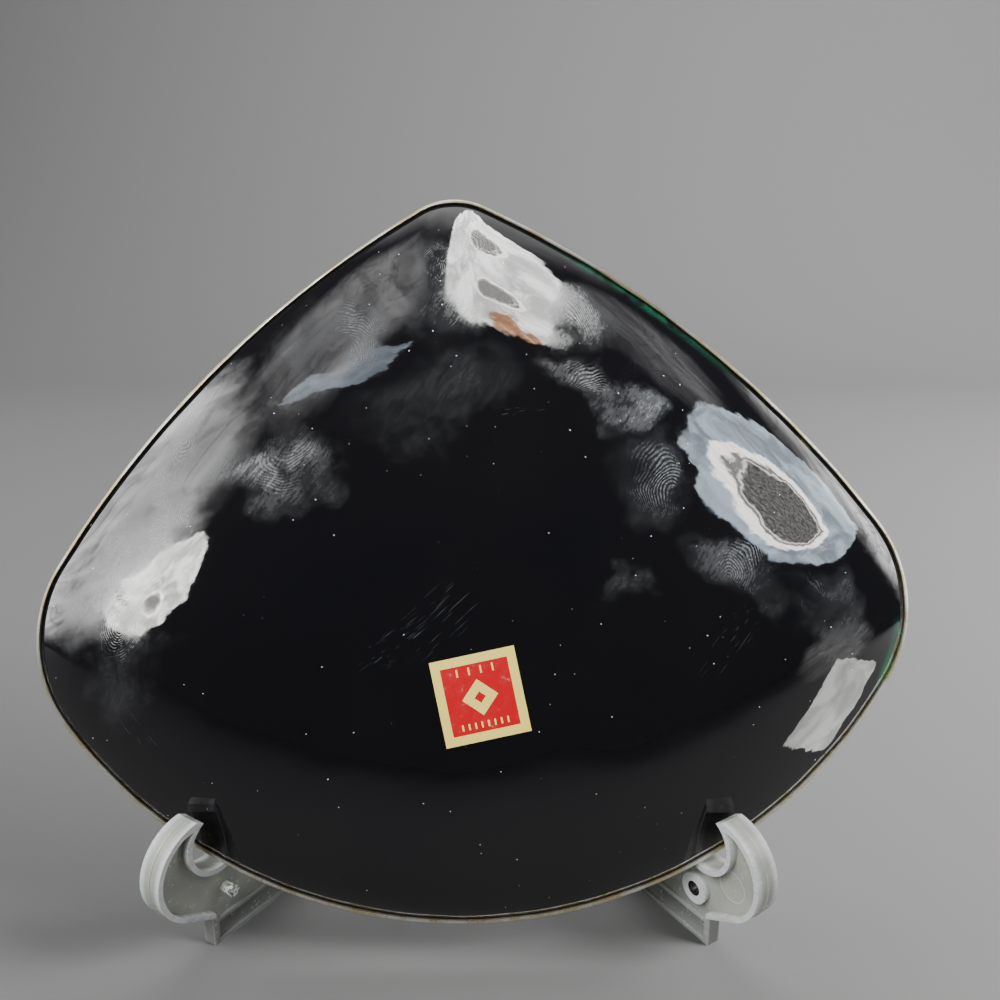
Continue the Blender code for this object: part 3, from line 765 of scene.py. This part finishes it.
def cap(bm, layer, verts, height, material_index):
    middle = bm.verts.new((0.0, 0.0, height))
    middle[layer] = 0.0
    for i in range(len(verts)):
        face = bm.faces.new((verts[i], verts[(i + 1) % len(verts)], middle))
        face.material_index = material_index


def build_dish():
    """The enamelled wall: black back, edge under the band, green hollow."""
    bm = bmesh.new()
    layer = bm.verts.layers.float.new("share")

    def spread(count):
        """Shares of the way out, closer together near the rim."""
        steps = [(i + 1) / count for i in range(count)]
        return [1.35 * t - 0.35 * t * t for t in steps]

    def back(share):
        def points(clock):
            distance = share * (rim_distance(clock) - EDGE_INSET)
            x, y = distance * math.sin(clock), distance * math.cos(clock)
            return distance, back_height(share) + back_unevenness(x, y, share), share
        return points

    def hollow(share):
        def points(clock):
            distance, height = hollow_point(share, rim_distance(clock) - EDGE_INSET)
            x, y = distance * math.sin(clock), distance * math.cos(clock)
            return distance, height + hollow_unevenness(x, y, share), share
        return points

    outside = [ring(bm, layer, COLUMNS, back(s)) for s in spread(BACK_RINGS)]
    cap(bm, layer, outside[0], back_height(0.0) + back_unevenness(0.0, 0.0, 0.0), 0)
    bridge(bm, outside, 0)
    rim = ring(bm, layer, COLUMNS, lambda c: (rim_distance(c) - EDGE_INSET, 0.0, 1.0))
    inside = [ring(bm, layer, COLUMNS, hollow(s)) for s in reversed(spread(HOLLOW_RINGS))]
    bridge(bm, [outside[-1], rim, inside[0]], 1)
    bridge(bm, inside, 1)
    cap(bm, layer, inside[-1], back_height(0.0) - WALL + hollow_unevenness(0.0, 0.0, 0.0), 1)
    bmesh.ops.recalc_face_normals(bm, faces=bm.faces)
    return new_piece("dish_enamel", bm, [enamel_black(), enamel_green()], DISH_FRAME,
                     ["dish"])


def curved_path(points, steps=10):
    """Points on a smooth curve through the given ones."""
    points = [Vector(p) for p in points]
    ends = [2.0 * points[0] - points[1]] + points + [2.0 * points[-1] - points[-2]]
    path = []
    for before, first, second, after in zip(ends, ends[1:], ends[2:], ends[3:]):
        for i in range(steps):
            t = i / steps
            path.append(0.5 * (2.0 * first + (second - before) * t
                               + (2.0 * before - 5.0 * first + 4.0 * second - after) * t * t
                               + (3.0 * first - before - 3.0 * second + after) * t ** 3))
    return path + [points[-1]]


def wire_paths():
    """(points in millimetres, closed) of the wires between the enamel colours."""
    paths = []
    for share in BORDER_SHARES:
        loop = []
        for i in range(360):
            clock = math.radians(i)
            distance = share * rim_distance(clock) / MM
            loop.append(Vector((distance * math.sin(clock), distance * math.cos(clock))))
        paths.append((loop, True))

    def around(right, up, radius, turn, angle, reach):
        angle += math.radians(turn)
        return Vector((right, up)) + radius * reach * Vector((math.cos(angle), math.sin(angle)))

    for right, up, radius, turn in BLOSSOMS:
        angles = [2.0 * math.pi * i / 90 for i in range(90)]
        paths.append(([around(right, up, radius, turn, a, petal_reach(a)) for a in angles], True))
        paths.append(([around(right, up, radius, turn, a, CENTRE) for a in angles[::5]], True))
        for i in range(PETALS):
            notch = math.pi * (2 * i + 1) / PETALS
            paths.append(([around(right, up, radius, turn, notch, r / 10) for r in range(2, 7)],
                          False))
    for right, up, half_length, half_width, direction in LEAVES:
        way = Vector((math.cos(math.radians(direction)), math.sin(math.radians(direction))))
        side = Vector((-way.y, way.x))
        steps = [i / 12 - 1.0 for i in range(25)]
        edge = [(x, 1.0 - x * x) for x in steps] + [(-x, x * x - 1.0) for x in steps[1:-1]]
        paths.append(([Vector((right, up)) + way * (half_length * x) + side * (half_width * y)
                       for x, y in edge], True))
        paths.append(([Vector((right, up)) + way * (half_length * x) for x in steps[1:-1]], False))

    def covered(point):
        for right, up, radius, _ in BLOSSOMS:
            if (point - Vector((right, up))).length < 0.9 * radius:
                return True
        for right, up, half_length, half_width, direction in LEAVES:
            local = Matrix.Rotation(-math.radians(direction), 2) @ (point - Vector((right, up)))
            if abs(local.y) / half_width + (local.x / half_length) ** 2 < 1.0:
                return True
        return False

    for stem in STEMS:
        stretch = []
        for point in curved_path(stem):
            if covered(point):
                if len(stretch) > 2:
                    paths.append((stretch, False))
                stretch = []
            else:
                stretch.append(point)
        if len(stretch) > 2:
            paths.append((stretch, False))
    return paths


def build_wires():
    """Flat silver wires set on edge in the hollow, standing just proud of the enamel."""
    bm = bmesh.new()
    half = [(WIRE_WIDTH, -WIRE_ROOT), (WIRE_WIDTH, 0.6 * WIRE_RISE), (0.5 * WIRE_WIDTH, WIRE_RISE)]
    section = [(-across, rise) for across, rise in half] + half[::-1]

    def lifted(point):
        x, y = point.x * MM, point.y * MM
        return Vector((x, y, hollow_surface(x, y)))

    step = 0.3 * MM
    for path, closed in wire_paths():
        spots = [lifted(point) for point in path]
        count = len(spots)
        rings = []
        for i in range(count):
            after = spots[(i + 1) % count] if closed else spots[min(i + 1, count - 1)]
            before = spots[i - 1] if closed else spots[max(i - 1, 0)]
            along = (after - before).normalized()
            x, y = spots[i].x, spots[i].y
            slope = Vector((hollow_surface(x + step, y) - hollow_surface(x - step, y),
                            hollow_surface(x, y + step) - hollow_surface(x, y - step),
                            -2.0 * step)).normalized()
            across = along.cross(slope).normalized()
            rings.append([bm.verts.new(spots[i] + across * a + slope * b) for a, b in section])
        rod(bm, rings, closed)
    bmesh.ops.recalc_face_normals(bm, faces=bm.faces)
    return new_piece("silver_wires", bm, [rim_metal("wire_metal")], DISH_FRAME, [],
                     50.0)


def build_band():
    """The metal edge with a rounded outer corner and a slightly uneven inner line."""
    leg = EDGE_INSET + BAND_GRIP

    def section(clock):
        """(inset, height) round the band's section."""
        reach = rim_distance(clock) - EDGE_INSET
        slope = back_slope(1.0, reach)
        lift = EDGE_HEIGHT + BAND_LIFT
        wander = noise.noise(Vector((9.0 * math.sin(clock), 9.0 * math.cos(clock), 0.0)))
        inner = leg + BAND_WANDER * wander
        corner = (0.0, lift + 0.25 * MM)
        start = (0.0, lift - 0.35 * MM)
        finish = (BAND_ROUNDING,
                  lift + slope * max(BAND_ROUNDING - EDGE_INSET, 0.0) + BAND_THICKNESS)
        rounded = []
        for i in range(6):
            t = i / 5
            rounded.append(tuple((1 - t) ** 2 * start[k] + 2 * t * (1 - t) * corner[k]
                                 + t * t * finish[k] for k in (0, 1)))
        top = lift + slope * (inner - EDGE_INSET) + BAND_THICKNESS
        return ([(0.05 * MM, 0.0), (0.0, 0.06 * MM)] + rounded
                + [(inner - 0.08 * MM, top), (inner, top - 0.10 * MM), (inner, top - 0.6 * MM),
                   (0.5 * EDGE_INSET, lift - 0.2 * MM), (BAND_THICKNESS, 0.06 * MM),
                   (BAND_THICKNESS - 0.05 * MM, 0.0)])

    bm = bmesh.new()
    count = len(section(0.0))
    rings = [ring(bm, None, BAND_COLUMNS,
                  lambda c, k=k: (rim_distance(c) - section(c)[k][0], section(c)[k][1], 0.0))
             for k in range(count)]
    bridge(bm, rings, closed=True)
    bmesh.ops.recalc_face_normals(bm, faces=bm.faces)
    return new_piece("rim_edge", bm, [rim_metal("rim_metal")], DISH_FRAME,
                     ["rim_band"], 50.0)


# Label: a gold border round a red field, rows of plain strokes and a lozenge

LABEL_FIELD = LABEL_SIDE / 2 - LABEL_BORDER
STROKE = 0.34 * MM
LOZENGE = 3.5 * MM
LOZENGE_HOLE = 1.1 * MM


def label_strokes():
    """(left, right, bottom, top) of the plain strokes above and below the lozenge."""
    rows = [(4, 2.3 * MM, 4.45 * MM, 5.95 * MM), (8, 1.25 * MM, -5.75 * MM, -4.55 * MM)]
    strokes = []
    for count, pitch, bottom, top in rows:
        for i in range(count):
            middle = (i - 0.5 * (count - 1)) * pitch
            strokes.append((middle - STROKE / 2, middle + STROKE / 2, bottom, top))
    return strokes


def build_label():
    """A thin foil that follows the back, cut along the edges of its colours."""
    strokes = label_strokes()
    bm = bmesh.new()
    bmesh.ops.create_grid(bm, x_segments=14, y_segments=14, size=LABEL_SIDE / 2)
    cuts = [(way, value) for way in ((1, 0), (0, 1)) for value in (-LABEL_FIELD, LABEL_FIELD)]
    for left, right, bottom, top in strokes:
        cuts += [((1, 0), left), ((1, 0), right), ((0, 1), bottom), ((0, 1), top)]
    for size in (LOZENGE, LOZENGE_HOLE):
        cuts += [((a, b), size) for a in (1, -1) for b in (1, -1)]
    for (a, b), value in sorted(set(cuts)):
        normal = Vector((a, b, 0.0))
        bmesh.ops.bisect_plane(bm, geom=bm.verts[:] + bm.edges[:] + bm.faces[:], dist=1e-7,
                               plane_co=normal.normalized() * value / normal.length,
                               plane_no=normal)
    for face in bm.faces:
        x, y, _ = face.calc_center_median()
        reach = abs(x) + abs(y)
        border = max(abs(x), abs(y)) > LABEL_FIELD
        motif = LOZENGE_HOLE < reach < LOZENGE
        stroke = any(l < x < r and b < y < t for l, r, b, t in strokes)
        face.material_index = 0 if border or motif or stroke else 1
    top = list(bm.faces)
    turn = Matrix.Rotation(LABEL_TURN, 3, "Z")
    middle = Vector((LABEL_RIGHT, DEEPEST_BELOW_MIDDLE - LABEL_DOWN, 0.0))
    low = {}
    for edge in [edge for edge in bm.edges if edge.is_boundary]:
        for vert in edge.verts:
            if vert not in low:
                low[vert] = bm.verts.new(vert.co)
        first, second = edge.verts
        bm.faces.new((first, second, low[second], low[first]))
    sunk = set(low.values())
    for vert in bm.verts:
        spot = turn @ vert.co + middle
        lift = -LABEL_SUNK if vert in sunk else LABEL_THICKNESS
        vert.co = (spot.x, spot.y, back_surface(spot.x, spot.y) + lift)
    bmesh.ops.recalc_face_normals(bm, faces=bm.faces)
    if sum(face.normal.z for face in top) < 0.0:
        bmesh.ops.reverse_faces(bm, faces=bm.faces)
    gold = label_paint("label_gold", (1.0, 0.82, 0.19), (0.80, 0.60, 0.12), 0.32)
    red = label_paint("label_red", (0.58, 0.003, 0.011), (0.44, 0.003, 0.009), 0.30)
    return new_piece("label_foil", bm, [gold, red], DISH_FRAME, ["back_label"])


def stand_front():
    """(x of the plane between the arms, y of the hooks' front)."""
    left_low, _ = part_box("stand_arm_left")
    right_low, right_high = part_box("stand_arm_right")
    return 0.5 * (left_low.x + right_high.x), right_low.y


def arm_axes(side):
    """Matrix from an arm's axes to the world: side is 1 for the right arm, -1 for the left."""
    middle, front = stand_front()
    forward = Vector((side * math.sin(ARM_ANGLE), -math.cos(ARM_ANGLE), 0.0))
    up = Vector((0.0, 0.0, 1.0))
    axes = Matrix((forward, up.cross(forward), up)).transposed().to_4x4()
    place = (middle + side * FOOT_FROM_MIDDLE, front + FOOT_BEHIND_HOOK, 0.0)
    return Matrix.Translation(place) @ axes


def add_seam(bm):
    """The mould's parting line, a fine ridge along the middle of the hook's outer face."""
    half, rise, sunk, steps = 0.13 * MM, 0.10 * MM, 0.06 * MM, 60
    start, end = math.radians(84.0), math.radians(-60.0)
    rings = []
    for i in range(steps + 1):
        angle = start + (end - start) * i / steps
        away = Vector((math.cos(angle), 0.0, math.sin(angle)))
        foot = Vector((HOOK_CENTRE[0], 0.0, HOOK_CENTRE[1])) + away * (HOOK_RADIUS - sunk)
        crest = foot + away * (rise + sunk)
        rings.append([bm.verts.new(base + Vector((0.0, across * half, 0.0)))
                      for base, across in ((foot, -2), (crest, -1), (crest, 1), (foot, 2))])
    rod(bm, rings)


def build_arm(name, node, side):
    """The moulded arm with softened edges and its parting line."""
    bm = bmesh.new()
    bm.from_mesh(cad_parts[node].data)
    bmesh.ops.remove_doubles(bm, verts=bm.verts, dist=SAME_PLACE)
    bmesh.ops.dissolve_limit(bm, angle_limit=SAME_PLANE, verts=bm.verts, edges=bm.edges)
    matrix = arm_axes(side)
    bmesh.ops.transform(bm, matrix=matrix.inverted(), verts=bm.verts)
    bmesh.ops.recalc_face_normals(bm, faces=bm.faces)
    add_seam(bm)
    plastic = smoky_plastic("smoky_plastic_" + name, matrix, side)
    painted_edge_highlight = smoky_plastic("smoky_plastic_painted_highlight_" + name, matrix, side, edges=True)
    piece = new_piece(name, bm, [plastic, painted_edge_highlight], matrix, [node], 35.0)
    soften = piece.modifiers.new("soften", "BEVEL")
    soften.width = SOFT_EDGE
    soften.segments = 2
    soften.limit_method = "ANGLE"
    soften.angle_limit = math.radians(40.0)
    # The bevels take the pale copy of the plastic, a painted highlight along the softened edges.
    soften.material = 1
    return piece


# Studio

WORLD_GREY = (0.045, 0.045, 0.046)


def build_stage():
    """A plain grey floor that sweeps up into the backdrop and fades far off into the world's."""
    paint = Paint("studio_paper")
    far = paint.span(paint.length(paint.add("ShaderNodeTexCoord").outputs["Object"]), 1.3, 2.6)
    paint.set(Base_Color=paint.mix(far, (0.31, 0.31, 0.31), (0.0, 0.0, 0.0)), Roughness=0.75,
              Specular_IOR_Level=paint.times(paint.rest(far), 0.5),
              Emission_Color=WORLD_GREY, Emission_Strength=far)
    half_width, front, bend, radius, height, steps = 4.0, -4.0, 0.55, 0.35, 3.0, 16
    profile = [(front, 0.0), (bend, 0.0)]
    for i in range(1, steps + 1):
        angle = 0.5 * math.pi * i / steps
        profile.append((bend + radius * math.sin(angle), radius * (1.0 - math.cos(angle))))
    profile.append((bend + radius, height))
    bm = bmesh.new()
    sides = [[bm.verts.new((x, y, z)) for y, z in profile] for x in (-half_width, half_width)]
    for i in range(len(profile) - 1):
        bm.faces.new((sides[0][i], sides[1][i], sides[1][i + 1], sides[0][i + 1]))
    mesh_object("studio_sweep", bm, [paint.material])


def build_camera():
    middle, front = stand_front()
    data = bpy.data.cameras.new("camera")
    data.lens = CAMERA_LENS
    data.sensor_width = SENSOR
    data.clip_start = 0.01
    camera = add_object("camera", data)
    camera.location = (middle + CAMERA_SIDE, front - CAMERA_BACK, CAMERA_HEIGHT)
    camera.rotation_euler = (math.pi / 2 - CAMERA_PITCH, 0.0, 0.0)
    bpy.context.scene.camera = camera
    return camera


def area_light(name, place, target, size, power, roll=0.0):
    data = bpy.data.lights.new(name, "AREA")
    data.shape = "RECTANGLE"
    data.size, data.size_y = size
    data.energy = power
    lamp = add_object(name, data)
    facing = (Vector(target) - Vector(place)).to_track_quat("-Z", "Y").to_matrix()
    turned = facing @ Matrix.Rotation(math.radians(roll), 3, "Z")
    lamp.matrix_world = Matrix.Translation(place) @ turned.to_4x4()
    lamp.visible_camera = False
    return lamp


def shine_on(lamp, pieces):
    """Let a lamp light only the named pieces."""
    group = bpy.data.collections.new("lit_by_" + lamp.name)
    for piece in pieces:
        group.objects.link(bpy.data.objects[piece])
    lamp.light_linking.receiver_collection = group


def lamp_nodes(lamp):
    """(nodes, place across the lamp from -1 to 1) of a lamp that glows unevenly."""
    lamp.data.use_nodes = True
    nodes = Nodes(lamp.data.node_tree)
    flat = nodes.add("ShaderNodeNewGeometry").outputs["Parametric"]
    return nodes, nodes.mapped(flat, (0.5, 0.5, 0.0), 0.0, (0.5, 0.5, 1.0))


def glow(nodes, colour, strength):
    emission = nodes.tree.nodes["Emission"]
    nodes.put(emission.inputs["Color"], colour)
    nodes.put(emission.inputs["Strength"], strength)


def ragged_reach(nodes, spot, seed, scale, amount):
    """Distance from the middle of a patch, made ragged by noise."""
    shifted = nodes.mapped(spot, (seed, 0.37 * seed, 0.0))
    noisy = nodes.noise(shifted, scale, 4.0, 0.6, 0.4)
    bend = nodes.times(nodes.calc("SUBTRACT", noisy, 0.5), amount)
    return nodes.plus(nodes.length(nodes.vector("MULTIPLY", spot, (1.0, 1.0, 0.0))), bend)


def egg_lamp(lamp, seed, colour, rings, body, ring_level, core, warm=None):
    """A bright ragged blob with speckled cores in bright rings, and a warm patch if one is given.

    Rings and patch: right, up, half width and half height on the lamp, from -1 to 1.
    """
    nodes, spot = lamp_nodes(lamp)
    blob = nodes.span(ragged_reach(nodes, spot, seed, 1.5, 0.55), 0.81, 0.77)
    cloud = nodes.span(nodes.noise(spot, 3.2, 4.0, 0.6, 0.8), 0.36, 0.64, 0.50, 1.15)
    level = nodes.times(cloud, body)
    for right, up, half_width, half_height in rings:
        inner = nodes.mapped(spot, (right, up, 0.0), 0.0, (half_width, half_height, 1.0))
        reach = ragged_reach(nodes, inner, seed + right, 2.2, 0.5)
        rays = nodes.span(nodes.noise(nodes.mapped(inner, scale=(0.16, 1.0, 1.0)), 3.0, 2.0),
                          0.35, 0.6, 0.75, 1.0)
        fringe = nodes.span(reach, 1.36, 1.26)
        level = nodes.ease(fringe, level, nodes.times(rays, ring_level))
        line = nodes.times(nodes.span(reach, 0.94, 1.0), nodes.span(reach, 1.12, 1.04))
        speckle = nodes.span(nodes.noise(inner, 14.0, 5.0, 0.75), 0.40, 0.62, 0.3, 1.6)
        level = nodes.ease(nodes.span(reach, 0.98, 0.90), level, nodes.times(speckle, core))
        level = nodes.times(level, nodes.rest(nodes.times(line, 0.85)))
        colour = nodes.mix(fringe, colour, (1.0, 0.97, 0.93))
    if warm:
        patch = nodes.mapped(spot, (*warm[:2], 0.0), 0.0, (*warm[2:], 1.0))
        warmth = nodes.span(ragged_reach(nodes, patch, seed, 2.4, 2.4), 0.95, 0.60, 0.0, 0.9)
        colour = nodes.mix(warmth, colour, (0.50, 0.19, 0.06))
    glow(nodes, colour, nodes.times(level, blob))


def soft_panel(lamp, seed, edge=0.45, veil=0.5, streaks=0.4, contours=0.35):
    """A large panel that fades at its edges, with a cloudy, streaked and wavy glow."""
    nodes, spot = lamp_nodes(lamp)
    reach = ragged_reach(nodes, spot, seed, 1.1, 0.7)
    fade = nodes.span(reach, 1.0, 1.0 - edge)
    cloud = nodes.span(nodes.noise(nodes.mapped(spot, (seed, 0.0, 0.0)), 1.3, 3.0), 0.35, 0.65,
                       1.0 - veil, 1.0)
    long = nodes.mapped(spot, (0.0, seed, 0.0), 0.5, (1.0, 0.22, 1.0))
    streak = nodes.span(nodes.noise(long, 1.4, 3.0, 0.5, 0.8), 0.38, 0.62, 1.0 - streaks, 1.0)
    level = nodes.times(nodes.times(cloud, streak), fade)
    heights = nodes.noise(nodes.mapped(spot, (0.0, 0.0, seed)), 1.5, 2.0, 0.5, 1.2)
    wave = nodes.calc("PINGPONG", nodes.times(heights, 12.0), 1.0)
    level = nodes.times(level, nodes.span(wave, 0.0, 0.35, 1.0 - contours, 1.0))
    glow(nodes, (1.0, 1.0, 1.0), level)


def mirrored_way(camera, pixel):
    """(place on the back, direction) in which the smooth back mirrors a photograph's pixel."""
    across, down = ((value / PHOTO_SIDE - 0.5) * SENSOR for value in pixel)
    bpy.context.view_layer.update()
    ray = camera.matrix_world.to_3x3() @ Vector((across, -down, -CAMERA_LENS)).normalized()
    inverse = DISH_FRAME.inverted()
    start = inverse @ camera.matrix_world.translation
    way = inverse.to_3x3() @ ray

    def smooth(x, y):
        return back_height(min(share_at(x, y), 1.0))

    near = (EDGE_HEIGHT - start.z) / way.z
    for _ in range(20):
        spot = start + way * near
        near += (smooth(spot.x, spot.y) - spot.z) / way.z
    step = 0.5 * MM
    normal = Vector((smooth(spot.x - step, spot.y) - smooth(spot.x + step, spot.y),
                     smooth(spot.x, spot.y - step) - smooth(spot.x, spot.y + step),
                     2.0 * step)).normalized()
    mirrored = way - 2.0 * way.dot(normal) * normal
    return DISH_FRAME @ spot, DISH_FRAME.to_3x3() @ mirrored


def pane_lamp(lamp, seed, colour):
    """A plain pane with slightly wavy sides and a cloudy glow."""
    nodes, spot = lamp_nodes(lamp)
    across, up, _ = nodes.split(spot)
    side = nodes.calc("MAXIMUM", nodes.calc("ABSOLUTE", across), nodes.calc("ABSOLUTE", up))
    noisy = nodes.noise(nodes.mapped(spot, (seed, 0.0, 0.0)), 2.4, 2.0)
    bend = nodes.times(nodes.calc("SUBTRACT", noisy, 0.5), 0.36)
    pane = nodes.span(nodes.plus(side, bend), 0.89, 0.85)
    cloud = nodes.span(nodes.noise(spot, 1.3, 3.0, 0.5, 0.6), 0.38, 0.62, 0.65, 1.1)
    glow(nodes, colour, nodes.times(cloud, pane))


# Lamps mirrored in the back: pixel of the photograph, shift across the lamp, distance, size, roll,
# power, then the function that makes their look and its seed, colour and other values
MIRRORED_LAMPS = (
    ("top_lamp", (480.0, 272.0), (0.011, 0.073), 0.55, (0.70, 0.44), 43.0, 32.0, egg_lamp,
     (1.7, (0.97, 1.0, 0.96), ((0.33, -0.13, 0.15, 0.22), (-0.285, -0.29, 0.09, 0.17)),
      0.95, 1.2, 0.22, (-0.60, -0.40, 0.15, 0.17))),
    ("right_lamp", (768.0, 496.0), (0.066, -0.017), 0.55, (0.65, 0.38), 9.1, 14.5, egg_lamp,
     (5.2, (0.74, 0.88, 1.0), ((-0.195, 0.043, 0.36, 0.36),), 0.75, 2.2, 0.18)),
    ("left_lamp", (158.0, 592.0), (-0.033, -0.014), 0.55, (0.33, 0.27), 49.4, 10.0, egg_lamp,
     (9.4, (1.0, 1.0, 0.97), ((-0.03, -0.31, 0.18, 0.21),), 0.9, 1.5, 0.2)),
    ("bluish_pane", (350.0, 372.0), (-0.026, -0.004), 0.55, (0.235, 0.055), 2.0, 0.23, pane_lamp,
     (3.3, (0.72, 0.84, 0.97))),
    ("low_pane", (832.0, 705.0), (0.001, 0.0005), 0.05, (0.029, 0.042), -21.0, 0.038, pane_lamp,
     (6.1, (0.97, 1.0, 0.95))),
)

# Soft panels: azimuth from the front towards the right, elevation, distance, size, roll, power,
# seed
PANELS = (
    ("left_panel", -84.0, 22.0, 0.70, (0.98, 0.72), 12.0, 32.0, 2.3),
    ("upper_left_panel", -70.0, 58.0, 0.70, (0.66, 0.36), -20.0, 3.2, 4.1),
    ("right_panel", 106.0, 14.0, 0.70, (0.72, 0.80), -10.0, 30.0, 6.6),
    ("upper_right_panel", 84.0, 56.0, 0.70, (0.40, 0.26), 20.0, 0.8, 8.8),
    ("low_right_panel", 57.0, -2.0, 0.40, (0.18, 0.11), 0.0, 0.16, 5.5),
)

# Plain lamps: place, where they point, size, power, what they light
MIDDLE = Vector((0.0, 0.0, 0.06))
BESIDE_ENAMEL = ("label_foil", "left_arm", "right_arm", "rim_edge")
PLAIN_LAMPS = (
    ("front_key", (-0.35, -0.55, 0.75), MIDDLE, (0.6, 0.5), 15.0, BESIDE_ENAMEL),
    ("left_side", (-0.75, 0.05, 0.35), MIDDLE, (0.5, 0.7), 2.2, ("studio_sweep", *BESIDE_ENAMEL)),
    ("right_side", (0.75, 0.05, 0.35), MIDDLE, (0.5, 0.7), 4.0, ("studio_sweep", *BESIDE_ENAMEL)),
    ("backdrop_light", (0.75, -0.15, 0.40), (0.25, 0.75, 0.05), (0.5, 0.3), 10.0,
     ("studio_sweep",)),
)


def build_lights(camera):
    """Soft light on all, and lamps and panels that only the enamel mirrors."""
    overhead = area_light("overhead", (0.0, 0.45, 0.95), MIDDLE, (1.3, 1.0), 12.0)
    soft_panel(overhead, 3.0, edge=0.7, veil=0.0, streaks=0.0, contours=0.0)
    for name, place, target, size, power, pieces in PLAIN_LAMPS:
        shine_on(area_light(name, place, target, size, power), pieces)
    for name, pixel, shift, far, size, roll, power, look, values in MIRRORED_LAMPS:
        spot, way = mirrored_way(camera, pixel)
        moved = way.to_track_quat("Z", "Y").to_matrix() @ Vector((*shift, 0.0))
        lamp = area_light(name, spot + way * far + moved, spot + moved, size, power, roll)
        look(lamp, *values)
        shine_on(lamp, ("dish_enamel",))
    for name, azimuth, rise, far, size, roll, power, seed in PANELS:
        turn, rise = math.radians(azimuth), math.radians(rise)
        way = Vector((math.cos(rise) * math.sin(turn), -math.cos(rise) * math.cos(turn),
                      math.sin(rise)))
        panel = area_light(name, MIDDLE + way * far, MIDDLE, size, power, roll)
        soft_panel(panel, seed)
        shine_on(panel, ("dish_enamel",))
    world = bpy.data.worlds.new("studio")
    world.use_nodes = True
    background = world.node_tree.nodes["Background"]
    background.inputs["Color"].default_value = (*WORLD_GREY, 1.0)
    background.inputs["Strength"].default_value = 1.0
    bpy.context.scene.world = world


build_dish()
build_band()
build_wires()
build_label()
build_arm("left_arm", "stand_arm_left", -1.0)
build_arm("right_arm", "stand_arm_right", 1.0)
build_stage()
build_lights(build_camera())
